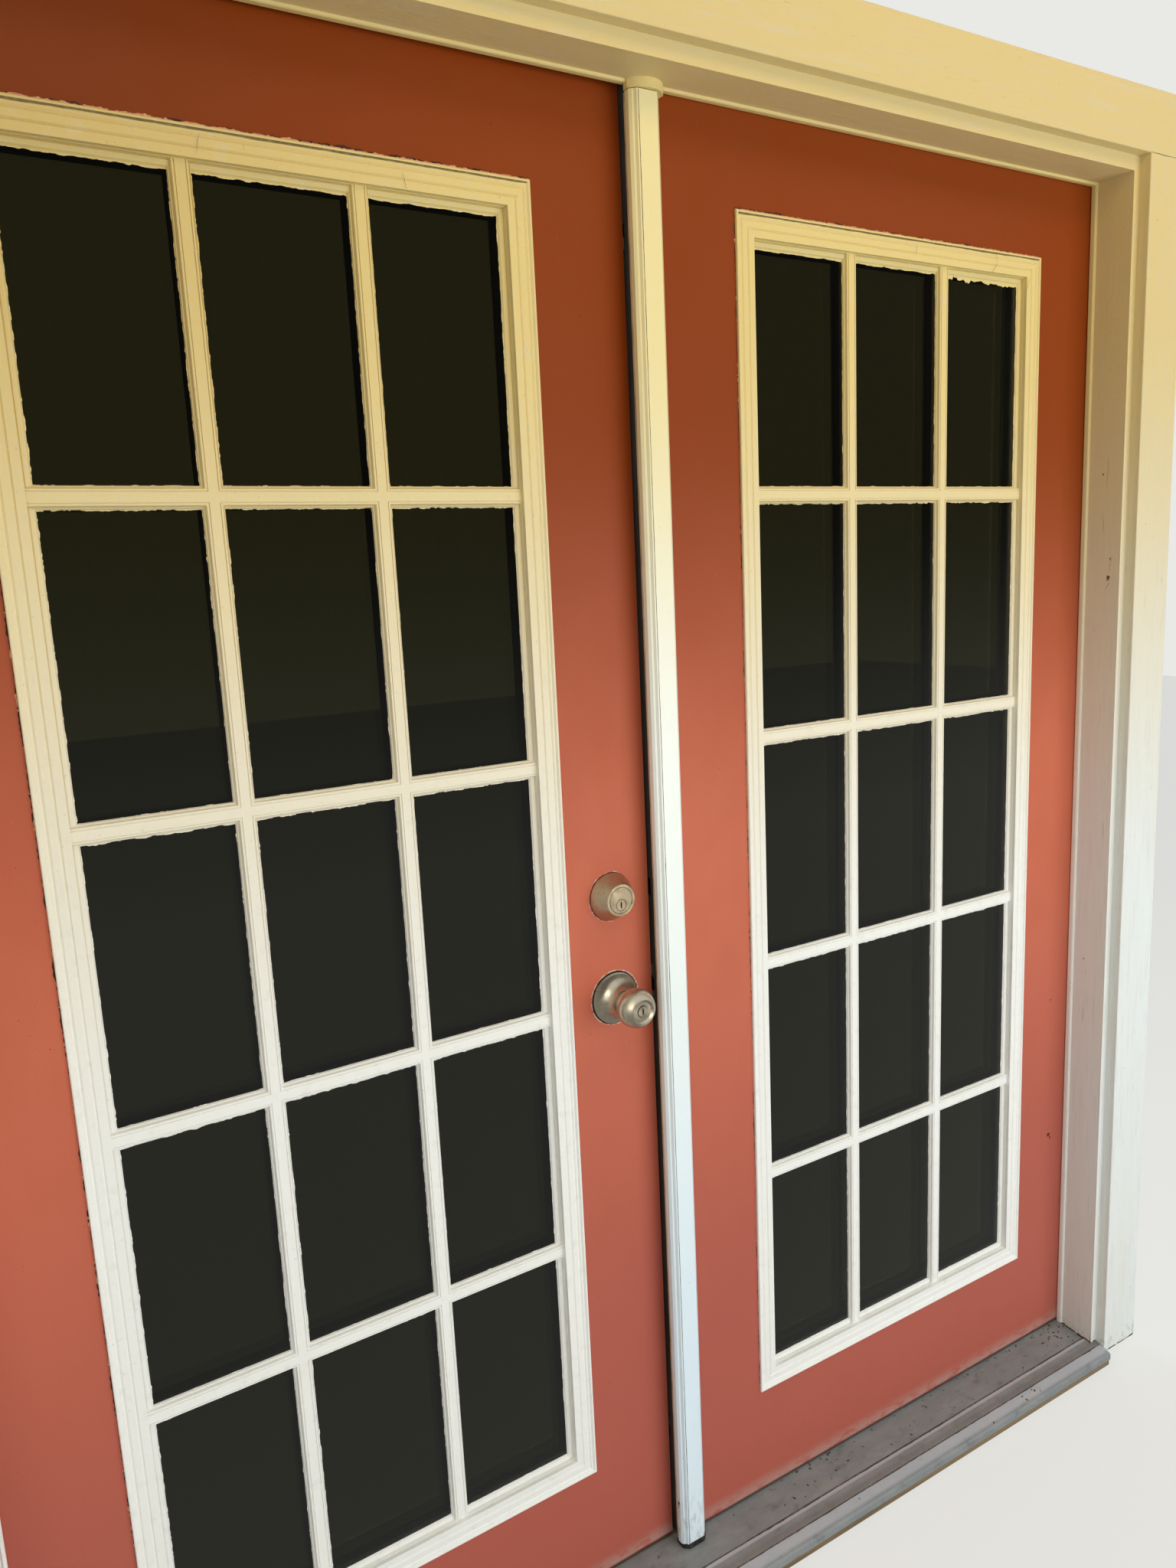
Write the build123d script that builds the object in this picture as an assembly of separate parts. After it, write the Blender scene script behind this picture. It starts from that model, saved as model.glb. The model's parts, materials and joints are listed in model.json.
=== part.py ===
from build123d import *
import os

os.makedirs("parts", exist_ok=True)

# Pair of in-swing garden doors in their frame, seen from outside along +Y, in millimetres.
# The origin is on the underside of the sill, at the middle of the doorway and the front of the jambs.

# Leaves
leaf_width = 854.5
leaf_height = 1990.0
leaf_thickness = 44.5
skin_thickness = 0.8
stile_width = 38.0
top_rail = 38.0
bottom_rail = 60.0
side_gap = 3.0
head_gap = 3.0
foot_gap = 4.0
sweep_base = 1.4
sweep_fin = 1.6
sweep_fins = 4
meeting_gap = 35.4
ajar_angle = 0.874

# Frame
frame_depth = 116.0
strip_space = 11.0
stop_height = 11.5
jamb_thickness = 19.7
casing_width = 89.0
casing_thickness = 18.0
casing_foot = 19.0
casing_edge_round = 1.5
side_reveal = 13.7
head_reveal = 21.6

# Sill
sill_rise = 38.0
sill_skin = 2.6
slope_drop = 4.5
slope_front = 16.4
ridge_front = -8.4
nosing_front = -31.0
nosing_foot = 12.0
nosing_fall = 4.8
nosing_round = 3.0
bed_drop_front = 17.0
bed_drop_middle = 9.0
ridge_fall = 4.0
ridge_bulge = 1.6
groove_width = 1.4
groove_depth = 2.0
cap_setback = 12.5
cap_overhang = 4.0
cap_height = 14.0
cap_round = 3.0

# Weatherstrips
strip_reach = 3.5
strip_overlap = 9.2
strip_round = 3.0
strip_clearance = 0.3
kerf_inset = 5.0
kerf_width = 3.0
kerf_depth = 9.0
kerf_clearance = 0.2

# Lite inserts, three lites wide and five high
lites_across = 3
lites_up = 5
insert_lock_margin = 128.0
insert_hinge_margin = 131.5
insert_foot_margin = 172.0
insert_top_margin = 128.0
lip_proud = 4.0
lip_width = 2.7
lip_round = 0.8
face_drop = 2.2
wide_flute = 9.1
narrow_flute = 19.8
flute_half = 2.1
flute_depth = 1.5
bead_rise = 3.2
bead_shoulder = 1.9
bead_nose = 0.7
band_width = 39.0
band_inner_edge = 30.0
band_bead_width = 6.4
reveal_rib = 1.0
reveal_slope = 0.5
grid_edge = 21.5
flange_width = 17.3
flange_wall = 2.0
cutout_clearance = 0.3
glass_depth = 14.5
muntin_width = 23.4
muntin_face = 15.6
muntin_foot = 19.0
muntin_depth = 7.6
muntin_round = 0.6
groove_centre = 5.7
groove_sink = 1.0
pane_thickness = 3.0
pane_clearance = 0.7
spacer_width = 8.0

# Hinges
hinge_height = 101.6
hinge_plate = 2.2
hinge_plate_depth = 38.0
hinge_proud = 1.3
barrel_radius = 5.5
barrel_offset = 6.0
pin_radius = 3.15
pin_clearance = 0.05
pin_head = 2.5
knuckles = 5
knuckle_gap = 0.4
top_hinge_drop = 178.0
foot_hinge_rise = 260.0

# Lock
backset = 60.0
knob_height = 902.0
lock_spacing = 139.7
cross_bore = 27.0
latch_case_radius = 11.2
bolt_case_radius = 14.9
case_clearance = 0.3
case_tail = 6.0
lock_block_width = 92.0
lock_block_height = 330.0
face_plate_width = 25.4
face_plate_height = 57.0
face_plate_thickness = 2.0
knob_rose_radius = 35.0
knob_radius = 26.0
knob_centre = 50.0
knob_front = 67.5
knob_neck = 15.0
knob_foot = 1.0
dish_radius = 16.5
dish_depth = 3.0
dish_slope = 3.5
dish_rim = 1.0
button_radius = 4.5
rose_rim = 3.0
rose_step = 1.6
rose_bevel = 1.0
rose_lip = 1.4
rose_length = 22.0
rose_flare = 0.46
neck_clearance = 0.4
collar_radius = 32.0
collar_face_radius = 21.0
collar_length = 25.0
collar_rim = 2.5
collar_bevel = 1.0
collar_bevel_length = 2.0
ring_radius = 17.75
ring_groove = 0.8
inner_rose_length = 9.0
plug_radius = 7.15
plug_clearance = 0.05
plug_length = 20.0
plug_proud = 1.0
plug_drop = 6.3
spindle_size = 8.0
spindle_bore = 6.3
latch_thickness = 11.0
latch_height = 16.0
latch_rest = 3.5
latch_inside = 36.0
bolt_thickness = 12.7
bolt_height = 24.0
bolt_inside = 44.0
slide_clearance = 0.3
tail_width = 6.0
tail_thickness = 2.4
tail_bore = 3.5
thumb_radius = 7.0
thumb_width = 7.5
thumb_height = 38.0
thumb_reach = 17.0
thumb_start = 11.0
thumb_blade_round = 3.0

# Astragal on the right leaf
body_gap = 6.2
body_wall = 2.0
cover_left = -20.5
cover_right = 21.0
cover_proud = 22.0
cover_corner_proud = 14.5
cover_back_proud = 7.5
cover_chamfer = 5.5
cover_bevel = 9.0
cover_ogee = [(0.3, 0.45), (0.55, 0.55), (0.8, 1.0)]
cover_groove = 0.8
cover_wall = 2.4
cover_flange = 7.0
cover_flange_thickness = 2.0
cover_foot_gap = 8.0
cover_top_gap = 1.0
bulb_left = -19.0
bulb_round = 2.5
seal_rim = 1.2
seal_clearance = 0.6
bolt_slot = 25.0
latch_slot = 60.0
pocket_setback = 15.0
screw_pocket = 13.0
screw_pocket_offset = 20.0
strike_height = 70.0
strike_thickness = 1.5
flush_radius = 4.0
flush_setback = 22.5
flush_length = 200.0
flush_throw = 15.0
flush_hole_clearance = 1.5
flush_hole_depth = 20.0
flush_tab_height = 14.0
flush_tab_width = 8.0
flush_tab_proud = 2.5
guide_height = 20.0
guide_clearance = 0.1
guide_drop = 120.0
head_block_left = -21.0
head_block_right = 30.5
head_block_proud = 27.5
head_block_side_proud = 13.5
head_block_back_proud = 5.5
head_block_height = 11.0

# Places that follow from the sizes
lock_edge = meeting_gap / 2
hinge_edge = lock_edge + leaf_width
rabbet_x = hinge_edge + side_gap
stop_x = rabbet_x - stop_height
jamb_back = rabbet_x + jamb_thickness
leaf_front = frame_depth - leaf_thickness
leaf_middle = frame_depth - leaf_thickness / 2
stop_depth = leaf_front - strip_space
cap_front = leaf_front + cap_setback
leaf_foot = sill_rise + foot_gap
leaf_top = leaf_foot + leaf_height
head_rabbet = leaf_top + head_gap
head_stop = head_rabbet - stop_height
head_top = head_rabbet + jamb_thickness
casing_inner = stop_x + side_reveal
casing_outer = casing_inner + casing_width
head_casing_foot = head_stop + head_reveal
head_casing_top = head_casing_foot + casing_width
hinge_x = rabbet_x - side_gap / 2
hinge_y = frame_depth + barrel_offset
strip_back = leaf_front - strip_clearance
insert_left = lock_edge + insert_lock_margin
insert_right = hinge_edge - insert_hinge_margin
insert_foot = leaf_foot + insert_foot_margin
insert_top = leaf_top - insert_top_margin
lip_y = leaf_front - lip_proud
cutout_inset = flange_width - cutout_clearance
lock_x = -lock_edge - backset
deadbolt_height = knob_height + lock_spacing
body_left = -lock_edge + body_gap
body_right = lock_edge
flush_x = (body_left + body_right) / 2
flush_y = leaf_front + flush_setback
pocket_front = leaf_front + pocket_setback
cover_front_y = leaf_front - cover_proud
cover_corner_y = leaf_front - cover_corner_proud
cover_back_y = leaf_front - cover_back_proud

parts = {}


# Shared shapes
def block(x0, x1, y0, y1, z0, z1):
    middle = Pos((x0 + x1) / 2, (y0 + y1) / 2, (z0 + z1) / 2)
    return middle * Box(x1 - x0, y1 - y0, z1 - z0)


def along_x(profile, x0, x1):
    corners = [(x0, y, z) for y, z in profile]
    return extrude(make_face(Polyline(*corners, close=True)), amount=x1 - x0, dir=(1, 0, 0))


def along_z(profile, z0, z1):
    corners = [(x, y, z0) for x, y in profile]
    return extrude(make_face(Polyline(*corners, close=True)), amount=z1 - z0, dir=(0, 0, 1))


def along_y(profile, y0, y1):
    corners = [(x, y0, z) for x, z in profile]
    return extrude(make_face(Polyline(*corners, close=True)), amount=y1 - y0, dir=(0, 1, 0))


def rod_along_x(radius, x0, x1, y, z):
    return Pos((x0 + x1) / 2, y, z) * Rot(0, 90, 0) * Cylinder(radius, x1 - x0)


def rod_along_y(radius, x, y0, y1, z):
    return Pos(x, (y0 + y1) / 2, z) * Rot(90, 0, 0) * Cylinder(radius, y1 - y0)


def rod_along_z(radius, x, y, z0, z1):
    return Pos(x, y, (z0 + z1) / 2) * Cylinder(radius, z1 - z0)


def to_left(shape):
    return mirror(shape, about=Plane.YZ)


def swung_ajar(shape):
    return shape.rotate(Axis((-hinge_x, hinge_y, 0), (0, 0, 1)), ajar_angle)


def turned(profile):
    corners = [(radius, 0, height) for radius, height in profile]
    return revolve(make_face(Polyline(*corners, close=True)), axis=Axis.Z)


def outward(shape, x, z):
    return Pos(x, leaf_front, z) * Rot(90, 0, 0) * shape


def inward(shape, x, z):
    return Pos(x, frame_depth, z) * Rot(-90, 0, 0) * shape


# Sill: aluminium threshold on a wood bed, with the cap that the leaves close over
ridge_top = sill_rise - slope_drop
ridge_back = slope_front - groove_width
nosing_back = ridge_front - groove_width
nosing_top = ridge_top - ridge_fall
nosing_edge = nosing_top - nosing_fall
cap_back = frame_depth + cap_overhang
cap_foot = sill_rise - cap_height
bed_edge = [
    (nosing_front + sill_skin, sill_rise - bed_drop_front),
    (slope_front, sill_rise - bed_drop_middle),
    (cap_front, sill_rise - sill_skin),
]


def sill_section(x, closing):
    front = [
        (nosing_front, nosing_foot),
        (nosing_front, nosing_edge - nosing_round),
        (nosing_front + nosing_round, nosing_edge),
        (nosing_back, nosing_top),
        (nosing_back, nosing_top - groove_depth),
        (ridge_front, nosing_top - groove_depth),
        (ridge_front, nosing_top),
    ]
    back = [
        (ridge_back, ridge_top),
        (ridge_back, ridge_top - groove_depth),
        (slope_front, ridge_top - groove_depth),
        (slope_front, ridge_top),
        (leaf_front, sill_rise),
        (cap_front, sill_rise),
    ]
    crown = ((ridge_front + ridge_back) / 2, (nosing_top + ridge_top) / 2 + ridge_bulge)
    lines = Polyline(*[(x, y, z) for y, z in front])
    lines += ThreePointArc((x, *front[-1]), (x, *crown), (x, *back[0]))
    lines += Polyline(*[(x, y, z) for y, z in back + closing + front[:1]])
    return make_face(lines)


def foot_cutter(x0, x1):
    under = [(cap_back, sill_rise), (cap_back, -sill_skin), (nosing_front, -sill_skin)]
    return extrude(sill_section(x0, under), amount=x1 - x0, dir=(1, 0, 0))


bed_inside = list(reversed(bed_edge)) + [(nosing_front + sill_skin, nosing_foot)]
flush_hole = rod_along_z(
    flush_radius + flush_hole_clearance, flush_x, flush_y, sill_rise - flush_hole_depth, sill_rise
)
sill_end = block(
    casing_inner, jamb_back, nosing_front, 0, 0, sill_rise
)
sill_ends = Part() + [sill_end, to_left(sill_end)]
threshold_face = sill_section(-jamb_back, bed_inside)
threshold = extrude(threshold_face, amount=2 * jamb_back, dir=(1, 0, 0))
parts["threshold"] = threshold - sill_ends
bed_profile = [(nosing_front + sill_skin, 0)] + bed_edge
bed_profile += [(cap_front, cap_foot), (cap_back, cap_foot), (cap_back, 0)]
parts["sill_substrate"] = along_x(bed_profile, -jamb_back, jamb_back) - flush_hole - sill_ends
cap = block(-jamb_back, jamb_back, cap_front, cap_back, cap_foot, sill_rise)
cap_nose = cap.edges().filter_by(Axis.X).group_by(Axis.Y)[-1].sort_by(Axis.Z)[-1]
parts["threshold_cap"] = fillet(cap_nose, cap_round) - flush_hole


# Hinges, on the right side first
def hinge_centres():
    low = leaf_foot + foot_hinge_rise + hinge_height / 2
    high = leaf_top - top_hinge_drop - hinge_height / 2
    return [low, (low + high) / 2, high]


def hinge_half(centre, first_knuckle, plate_inner):
    foot = centre - hinge_height / 2
    plate_outer = plate_inner + hinge_plate
    plate_back = frame_depth - hinge_plate_depth
    half = block(plate_inner, plate_outer, plate_back, frame_depth, foot, foot + hinge_height)
    pitch = hinge_height / knuckles
    for number in range(first_knuckle, knuckles, 2):
        low = foot + number * pitch + knuckle_gap / 2
        high = low + pitch - knuckle_gap
        half += block(plate_inner, plate_outer, frame_depth, hinge_y, low, high)
        half += rod_along_z(barrel_radius, hinge_x, hinge_y, low, high)
    return half - rod_along_z(
        pin_radius + pin_clearance, hinge_x, hinge_y, foot, foot + hinge_height
    )


def hinge_pin(centre):
    foot = centre - hinge_height / 2
    pin = rod_along_z(pin_radius, hinge_x, hinge_y, foot - pin_head, foot + hinge_height)
    for low in (foot - pin_head, foot + hinge_height):
        pin += rod_along_z(barrel_radius, hinge_x, hinge_y, low, low + pin_head)
    return pin


jamb_plate_x = rabbet_x - hinge_proud
leaf_plate_x = hinge_edge + hinge_proud - hinge_plate
right_jamb_hinges = Part() + [hinge_half(z, 0, jamb_plate_x) for z in hinge_centres()]
right_leaf_hinges = Part() + [hinge_half(z, 1, leaf_plate_x) for z in hinge_centres()]
right_pins = Part() + [hinge_pin(z) for z in hinge_centres()]
parts["frame_hinge_leaves"] = Part() + [right_jamb_hinges, to_left(right_jamb_hinges)]
parts["hinge_pins"] = Part() + [right_pins, to_left(right_pins)]
parts["passive_hinge_leaves"] = right_leaf_hinges
parts["active_hinge_leaves"] = swung_ajar(to_left(right_leaf_hinges))


# Jambs, with their stops, kerfs and hinge mortises
def side_jamb():
    jamb = block(rabbet_x, jamb_back, 0, frame_depth, 0, head_top)
    jamb += block(stop_x, rabbet_x, 0, stop_depth, 0, head_stop)
    kerf_x = stop_x + kerf_inset
    jamb -= block(kerf_x, kerf_x + kerf_width, stop_depth - kerf_depth, stop_depth, 0, head_stop)
    jamb -= foot_cutter(stop_x, jamb_back)
    return jamb - right_jamb_hinges


def head_jamb():
    jamb = block(-rabbet_x, rabbet_x, 0, frame_depth, head_rabbet, head_top)
    jamb += block(-rabbet_x, rabbet_x, 0, stop_depth, head_stop, head_rabbet)
    kerf_z = head_stop + kerf_inset
    kerf = (stop_depth - kerf_depth, stop_depth, kerf_z, kerf_z + kerf_width)
    jamb -= block(-rabbet_x, rabbet_x, *kerf)
    top = head_rabbet + flush_throw + flush_hole_clearance
    hole_radius = flush_radius + flush_hole_clearance
    return jamb - rod_along_z(hole_radius, flush_x, flush_y, head_rabbet, top)


parts["right_jamb"] = side_jamb()
parts["left_jamb"] = to_left(parts["right_jamb"])
parts["head_jamb"] = head_jamb()


# Flat casing boards round the outside
def casing_board(x0, x1, z0, z1, length_axis):
    board = block(x0, x1, -casing_thickness, 0, z0, z1)
    front = board.edges().filter_by(length_axis).group_by(Axis.Y)[0]
    return fillet(front, casing_edge_round)


side_casing = casing_board(casing_inner, casing_outer, casing_foot, head_casing_foot, Axis.Z)
parts["right_casing"] = side_casing
parts["left_casing"] = to_left(parts["right_casing"])
parts["head_casing"] = casing_board(
    -casing_outer, casing_outer, head_casing_foot, head_casing_top, Axis.X
)


# Bulb weatherstrips in the kerfs, mitred at the head corners
strip_inner = stop_x - strip_reach
strip_width = strip_reach + strip_overlap
strip_low = head_stop - strip_reach
strip_size = (strip_width, strip_back - stop_depth)
fin_front = stop_depth - kerf_depth + kerf_clearance
mitre = Plane(origin=(strip_inner, 0, strip_low), z_dir=(1, 0, -1))


def side_strip():
    foot = sill_rise + strip_clearance
    centre = (strip_inner + strip_width / 2, (stop_depth + strip_back) / 2, foot)
    bulb = extrude(Pos(centre) * RectangleRounded(*strip_size, strip_round), head_rabbet - foot)
    bulb = split(bulb, bisect_by=mitre, keep=Keep.TOP)
    fin_x = stop_x + kerf_inset + kerf_clearance
    fin_end = fin_x + kerf_width - 2 * kerf_clearance
    fin_back = stop_depth + strip_round
    return bulb + block(fin_x, fin_end, fin_front, fin_back, foot, strip_low)


def head_strip(x0, x1):
    centre = (x0, (stop_depth + strip_back) / 2, strip_low + strip_width / 2)
    face = Plane(origin=centre, x_dir=(0, 0, 1), z_dir=(1, 0, 0)) * RectangleRounded(
        *strip_size, strip_round
    )
    bulb = split(extrude(face, rabbet_x - x0), bisect_by=mitre, keep=Keep.BOTTOM)
    fin_z = head_stop + kerf_inset + kerf_clearance
    fin_top = fin_z + kerf_width - 2 * kerf_clearance
    return bulb + block(x0, x1, fin_front, stop_depth + strip_round, fin_z, fin_top)


right_head_strip = head_strip(head_block_right, strip_inner)
left_head_strip = to_left(head_strip(-head_block_left, strip_inner))
parts["right_weatherstrip"] = side_strip()
parts["left_weatherstrip"] = to_left(side_strip())
parts["head_weatherstrip"] = right_head_strip + left_head_strip


# Half-round block under the head stop, where the astragal meets it
def head_block():
    middle = (head_block_left + head_block_right) / 2
    left, right = head_block_left, head_block_right
    front = leaf_front - head_block_proud
    side = leaf_front - head_block_side_proud
    back = leaf_front - head_block_back_proud
    corners = [(right, side), (right, back), (left, back), (left, side)]
    low = head_stop - head_block_height
    lines = Polyline(*[(x, y, low) for x, y in corners])
    lines += ThreePointArc((left, side, low), (middle, front, low), (right, side, low))
    return extrude(make_face(lines), amount=head_block_height, dir=(0, 0, 1))


parts["astragal_head_block"] = head_block()


# Lite insert: a moulded band with its muntin grid, glazed from behind
pitch_across = (insert_right - insert_left - 2 * grid_edge) / lites_across
pitch_up = (insert_top - insert_foot - 2 * grid_edge) / lites_up
insert_middle = ((insert_left + insert_right) / 2, 0, (insert_foot + insert_top) / 2)
half_depth = leaf_middle - lip_y
reveal_inner = band_inner_edge + reveal_rib
bead_top = glass_depth - bead_rise
bead_inner = band_width - band_bead_width
band_section = [
    (0, lip_proud),
    (0, lip_round),
    (lip_round, 0),
    (lip_width, 0),
    (lip_width + face_drop, face_drop),
    (wide_flute - flute_half, face_drop),
    (wide_flute, face_drop + flute_depth),
    (wide_flute + flute_half, face_drop),
    (narrow_flute - flute_depth, face_drop),
    (narrow_flute, face_drop + flute_depth),
    (narrow_flute + flute_depth, face_drop),
    (band_inner_edge, face_drop),
    (band_inner_edge + reveal_slope, muntin_depth),
    (reveal_inner, muntin_depth),
    (reveal_inner + reveal_slope, bead_top + bead_nose),
    (bead_inner, bead_top),
    (band_width - bead_shoulder, bead_top + bead_nose),
    (band_width, glass_depth),
    (flange_width + flange_wall, glass_depth),
    (flange_width + flange_wall, half_depth),
    (flange_width, half_depth),
    (flange_width, lip_proud),
]
muntin_side = [
    (muntin_width / 2, glass_depth),
    (muntin_width / 2 - bead_nose, bead_top + bead_nose),
    (muntin_foot / 2 + bead_nose, bead_top),
    (muntin_foot / 2, bead_top + bead_nose),
    (muntin_face / 2 + muntin_round, muntin_depth + muntin_round),
    (muntin_face / 2, muntin_depth),
]
muntin_section = muntin_side + [(-across, depth) for across, depth in reversed(muntin_side)]


def band():
    reach = band_width + lip_proud
    left, right, foot, top = insert_left, insert_right, insert_foot, insert_top
    upright = along_z([(left + u, lip_y + d) for u, d in band_section], foot, top)
    upright_end = [(left, foot), (left, top), (left + reach, top - reach)]
    upright_end += [(left + reach, foot + reach)]
    level = along_x([(lip_y + d, foot + u) for u, d in band_section], left, right)
    level_end = [(left, foot), (right, foot), (right - reach, foot + reach)]
    level_end += [(left + reach, foot + reach)]
    upright &= along_y(upright_end, lip_y - lip_proud, leaf_middle + lip_proud)
    level &= along_y(level_end, lip_y - lip_proud, leaf_middle + lip_proud)
    across = Plane(origin=insert_middle, z_dir=(1, 0, 0))
    up = Plane(origin=insert_middle, z_dir=(0, 0, 1))
    return Part() + [upright, mirror(upright, about=across), level, mirror(level, about=up)]


def muntins():
    bars = []
    inset = band_inner_edge - face_drop
    for number in range(1, lites_across):
        x = insert_left + grid_edge + number * pitch_across
        section = [(x + across, lip_y + depth) for across, depth in muntin_section]
        bars.append(along_z(section, insert_foot + inset, insert_top - inset))
    for number in range(1, lites_up):
        z = insert_foot + grid_edge + number * pitch_up
        section = [(lip_y + depth, z + across) for across, depth in muntin_section]
        bars.append(along_x(section, insert_left + inset, insert_right - inset))
    return bars


# Fine groove that runs round each lite on the face of the muntins
def lite_grooves():
    y0 = lip_y + face_drop
    y1 = lip_y + muntin_depth + groove_sink
    rings = []
    for column in range(lites_across):
        x = insert_left + grid_edge + (column + 0.5) * pitch_across
        for row in range(lites_up):
            z = insert_foot + grid_edge + (row + 0.5) * pitch_up
            ring = []
            for edge in (groove_centre - groove_sink / 2, groove_centre + groove_sink / 2):
                dx = pitch_across / 2 - edge
                dz = pitch_up / 2 - edge
                ring.append(block(x - dx, x + dx, y0, y1, z - dz, z + dz))
            rings.append(ring[0] - ring[1])
    window = block(
        insert_left + reveal_inner, insert_right - reveal_inner, y0, y1,
        insert_foot + reveal_inner, insert_top - reveal_inner,
    )
    return [ring & window for ring in rings]


outer_lite_frame = band() + muntins() - lite_grooves()
middle_plane = Plane(origin=(0, leaf_middle, 0), z_dir=(0, 1, 0))
inner_lite_frame = mirror(outer_lite_frame, about=middle_plane)


# Sealed glass unit: two panes on a spacer
def pane_block(y0, y1, inset):
    x0, x1 = insert_left + inset, insert_right - inset
    return block(x0, x1, y0, y1, insert_foot + inset, insert_top - inset)


glass_inset = flange_width + flange_wall + pane_clearance
glass_front = lip_y + glass_depth
outer_pane = pane_block(glass_front, glass_front + pane_thickness, glass_inset)
inner_pane = mirror(outer_pane, about=middle_plane)
spacer_front = glass_front + pane_thickness
spacer_back = 2 * leaf_middle - spacer_front
glass_spacer = pane_block(spacer_front, spacer_back, glass_inset)
glass_spacer -= pane_block(spacer_front, spacer_back, glass_inset + spacer_width)


# Leaf slab: painted steel skins over a wood edge and a foam core
cutout = pane_block(0, 2 * frame_depth, cutout_inset)
core_front = leaf_front + skin_thickness
core_back = frame_depth - skin_thickness


def skin(y0, y1):
    return block(lock_edge, hinge_edge, y0, y1, leaf_foot, leaf_top) - cutout


def edge_frame(cuts):
    inner, outer = lock_edge + stile_width, hinge_edge - stile_width
    boards = [
        block(lock_edge, inner, core_front, core_back, leaf_foot, leaf_top),
        block(outer, hinge_edge, core_front, core_back, leaf_foot, leaf_top),
        block(inner, outer, core_front, core_back, leaf_foot, leaf_foot + bottom_rail),
        block(inner, outer, core_front, core_back, leaf_top - top_rail, leaf_top),
    ]
    return Compound([(board - cuts).solid() for board in boards])


def foam_core():
    x0, x1 = lock_edge + stile_width, hinge_edge - stile_width
    z0, z1 = leaf_foot + bottom_rail, leaf_top - top_rail
    return block(x0, x1, core_front, core_back, z0, z1) - cutout


def sweep_strip():
    low = sill_rise + strip_clearance
    base = leaf_foot - sweep_base
    section = [(core_back, leaf_foot), (core_front, leaf_foot), (core_front, base)]
    pitch = (core_back - core_front - sweep_fin) / sweep_fins
    for number in range(sweep_fins):
        y = core_front + number * pitch + sweep_fin
        section += [(y, base), (y, low), (y + sweep_fin, low), (y + sweep_fin, base)]
    section.append((core_back, base))
    return along_x(section, lock_edge + sweep_fin, hinge_edge - sweep_fin)


# Lock bores and mortises, on the left leaf as it stands when closed
lock_bores = [
    rod_along_y(cross_bore, lock_x, 0, 2 * frame_depth, height)
    for height in (knob_height, deadbolt_height)
]
bore_sizes = ((knob_height, latch_case_radius), (deadbolt_height, bolt_case_radius))
for height, radius in bore_sizes:
    bore_radius = radius + case_clearance
    bore_end = lock_x - spindle_size - case_tail
    lock_bores.append(rod_along_x(bore_radius, bore_end, -lock_edge, leaf_middle, height))
    lock_bores.append(
        block(
            -lock_edge - face_plate_thickness, -lock_edge,
            leaf_middle - face_plate_width / 2, leaf_middle + face_plate_width / 2,
            height - face_plate_height / 2, height + face_plate_height / 2,
        )
    )
block_inner = -lock_edge - stile_width
block_middle = (knob_height + deadbolt_height) / 2
lock_block = block(
    block_inner - lock_block_width, block_inner, core_front, core_back,
    block_middle - lock_block_height / 2, block_middle + lock_block_height / 2,
)


def leaf_nodes():
    right_cuts = right_leaf_hinges
    left_cuts = Part() + lock_bores + [to_left(right_leaf_hinges)]
    right = {
        "outer_skin": skin(leaf_front, core_front),
        "inner_skin": skin(core_back, frame_depth) - right_cuts,
        "foam_core": foam_core(),
        "outer_lite_frame": outer_lite_frame,
        "inner_lite_frame": inner_lite_frame,
        "outer_pane": outer_pane,
        "inner_pane": inner_pane,
        "glass_spacer": glass_spacer,
        "sweep": sweep_strip(),
    }
    left = {name: to_left(shape) for name, shape in right.items()}
    left["outer_skin"] -= left_cuts
    left["inner_skin"] -= left_cuts
    left["foam_core"] -= lock_block
    left["lock_block"] = lock_block - left_cuts
    right["edge_frame"] = edge_frame(right_cuts)
    left["edge_frame"] = to_left(edge_frame(to_left(left_cuts)))
    for name, shape in right.items():
        parts["passive_" + name] = shape
    for name, shape in left.items():
        parts["active_" + name] = swung_ajar(shape)


leaf_nodes()


# Lock pieces turned about their own axis, from the leaf's face outwards
def knob_shape(bored):
    shoulder = knob_centre - (knob_radius**2 - knob_neck**2) ** 0.5
    dish = knob_front - dish_depth
    start = [(0, knob_foot), (knob_neck, knob_foot), (knob_neck, shoulder)]
    end = [(dish_radius, knob_front), (dish_radius - dish_rim, knob_front)]
    end += [(dish_radius - dish_slope, dish)]
    if bored:
        bore = plug_radius + plug_clearance
        end += [(bore, dish), (bore, dish - plug_length), (0, dish - plug_length)]
    else:
        end += [(button_radius, dish), (button_radius, knob_front), (0, knob_front)]
    lines = Polyline(*[(r, 0, h) for r, h in start])
    lines += ThreePointArc(
        (knob_neck, 0, shoulder), (knob_radius, 0, knob_centre), (dish_radius, 0, knob_front)
    )
    lines += Polyline(*[(r, 0, h) for r, h in end + start[:1]])
    return revolve(make_face(lines), axis=Axis.Z)


def knob_rose():
    bore = knob_neck + neck_clearance
    start = [(bore, 0), (knob_rose_radius, 0), (knob_rose_radius, rose_rim)]
    start += [(knob_rose_radius - rose_step, rose_rim + rose_bevel)]
    end = [(bore + rose_lip, rose_length), (bore, rose_length), (bore, 0)]
    bend = ((start[-1][0] + bore) / 2 - rose_lip, rose_length * rose_flare)
    lines = Polyline(*[(r, 0, h) for r, h in start])
    lines += ThreePointArc(
        (start[-1][0], 0, start[-1][1]), (bend[0], 0, bend[1]), (end[0][0], 0, end[0][1])
    )
    lines += Polyline(*[(r, 0, h) for r, h in end])
    return revolve(make_face(lines), axis=Axis.Z)


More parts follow.
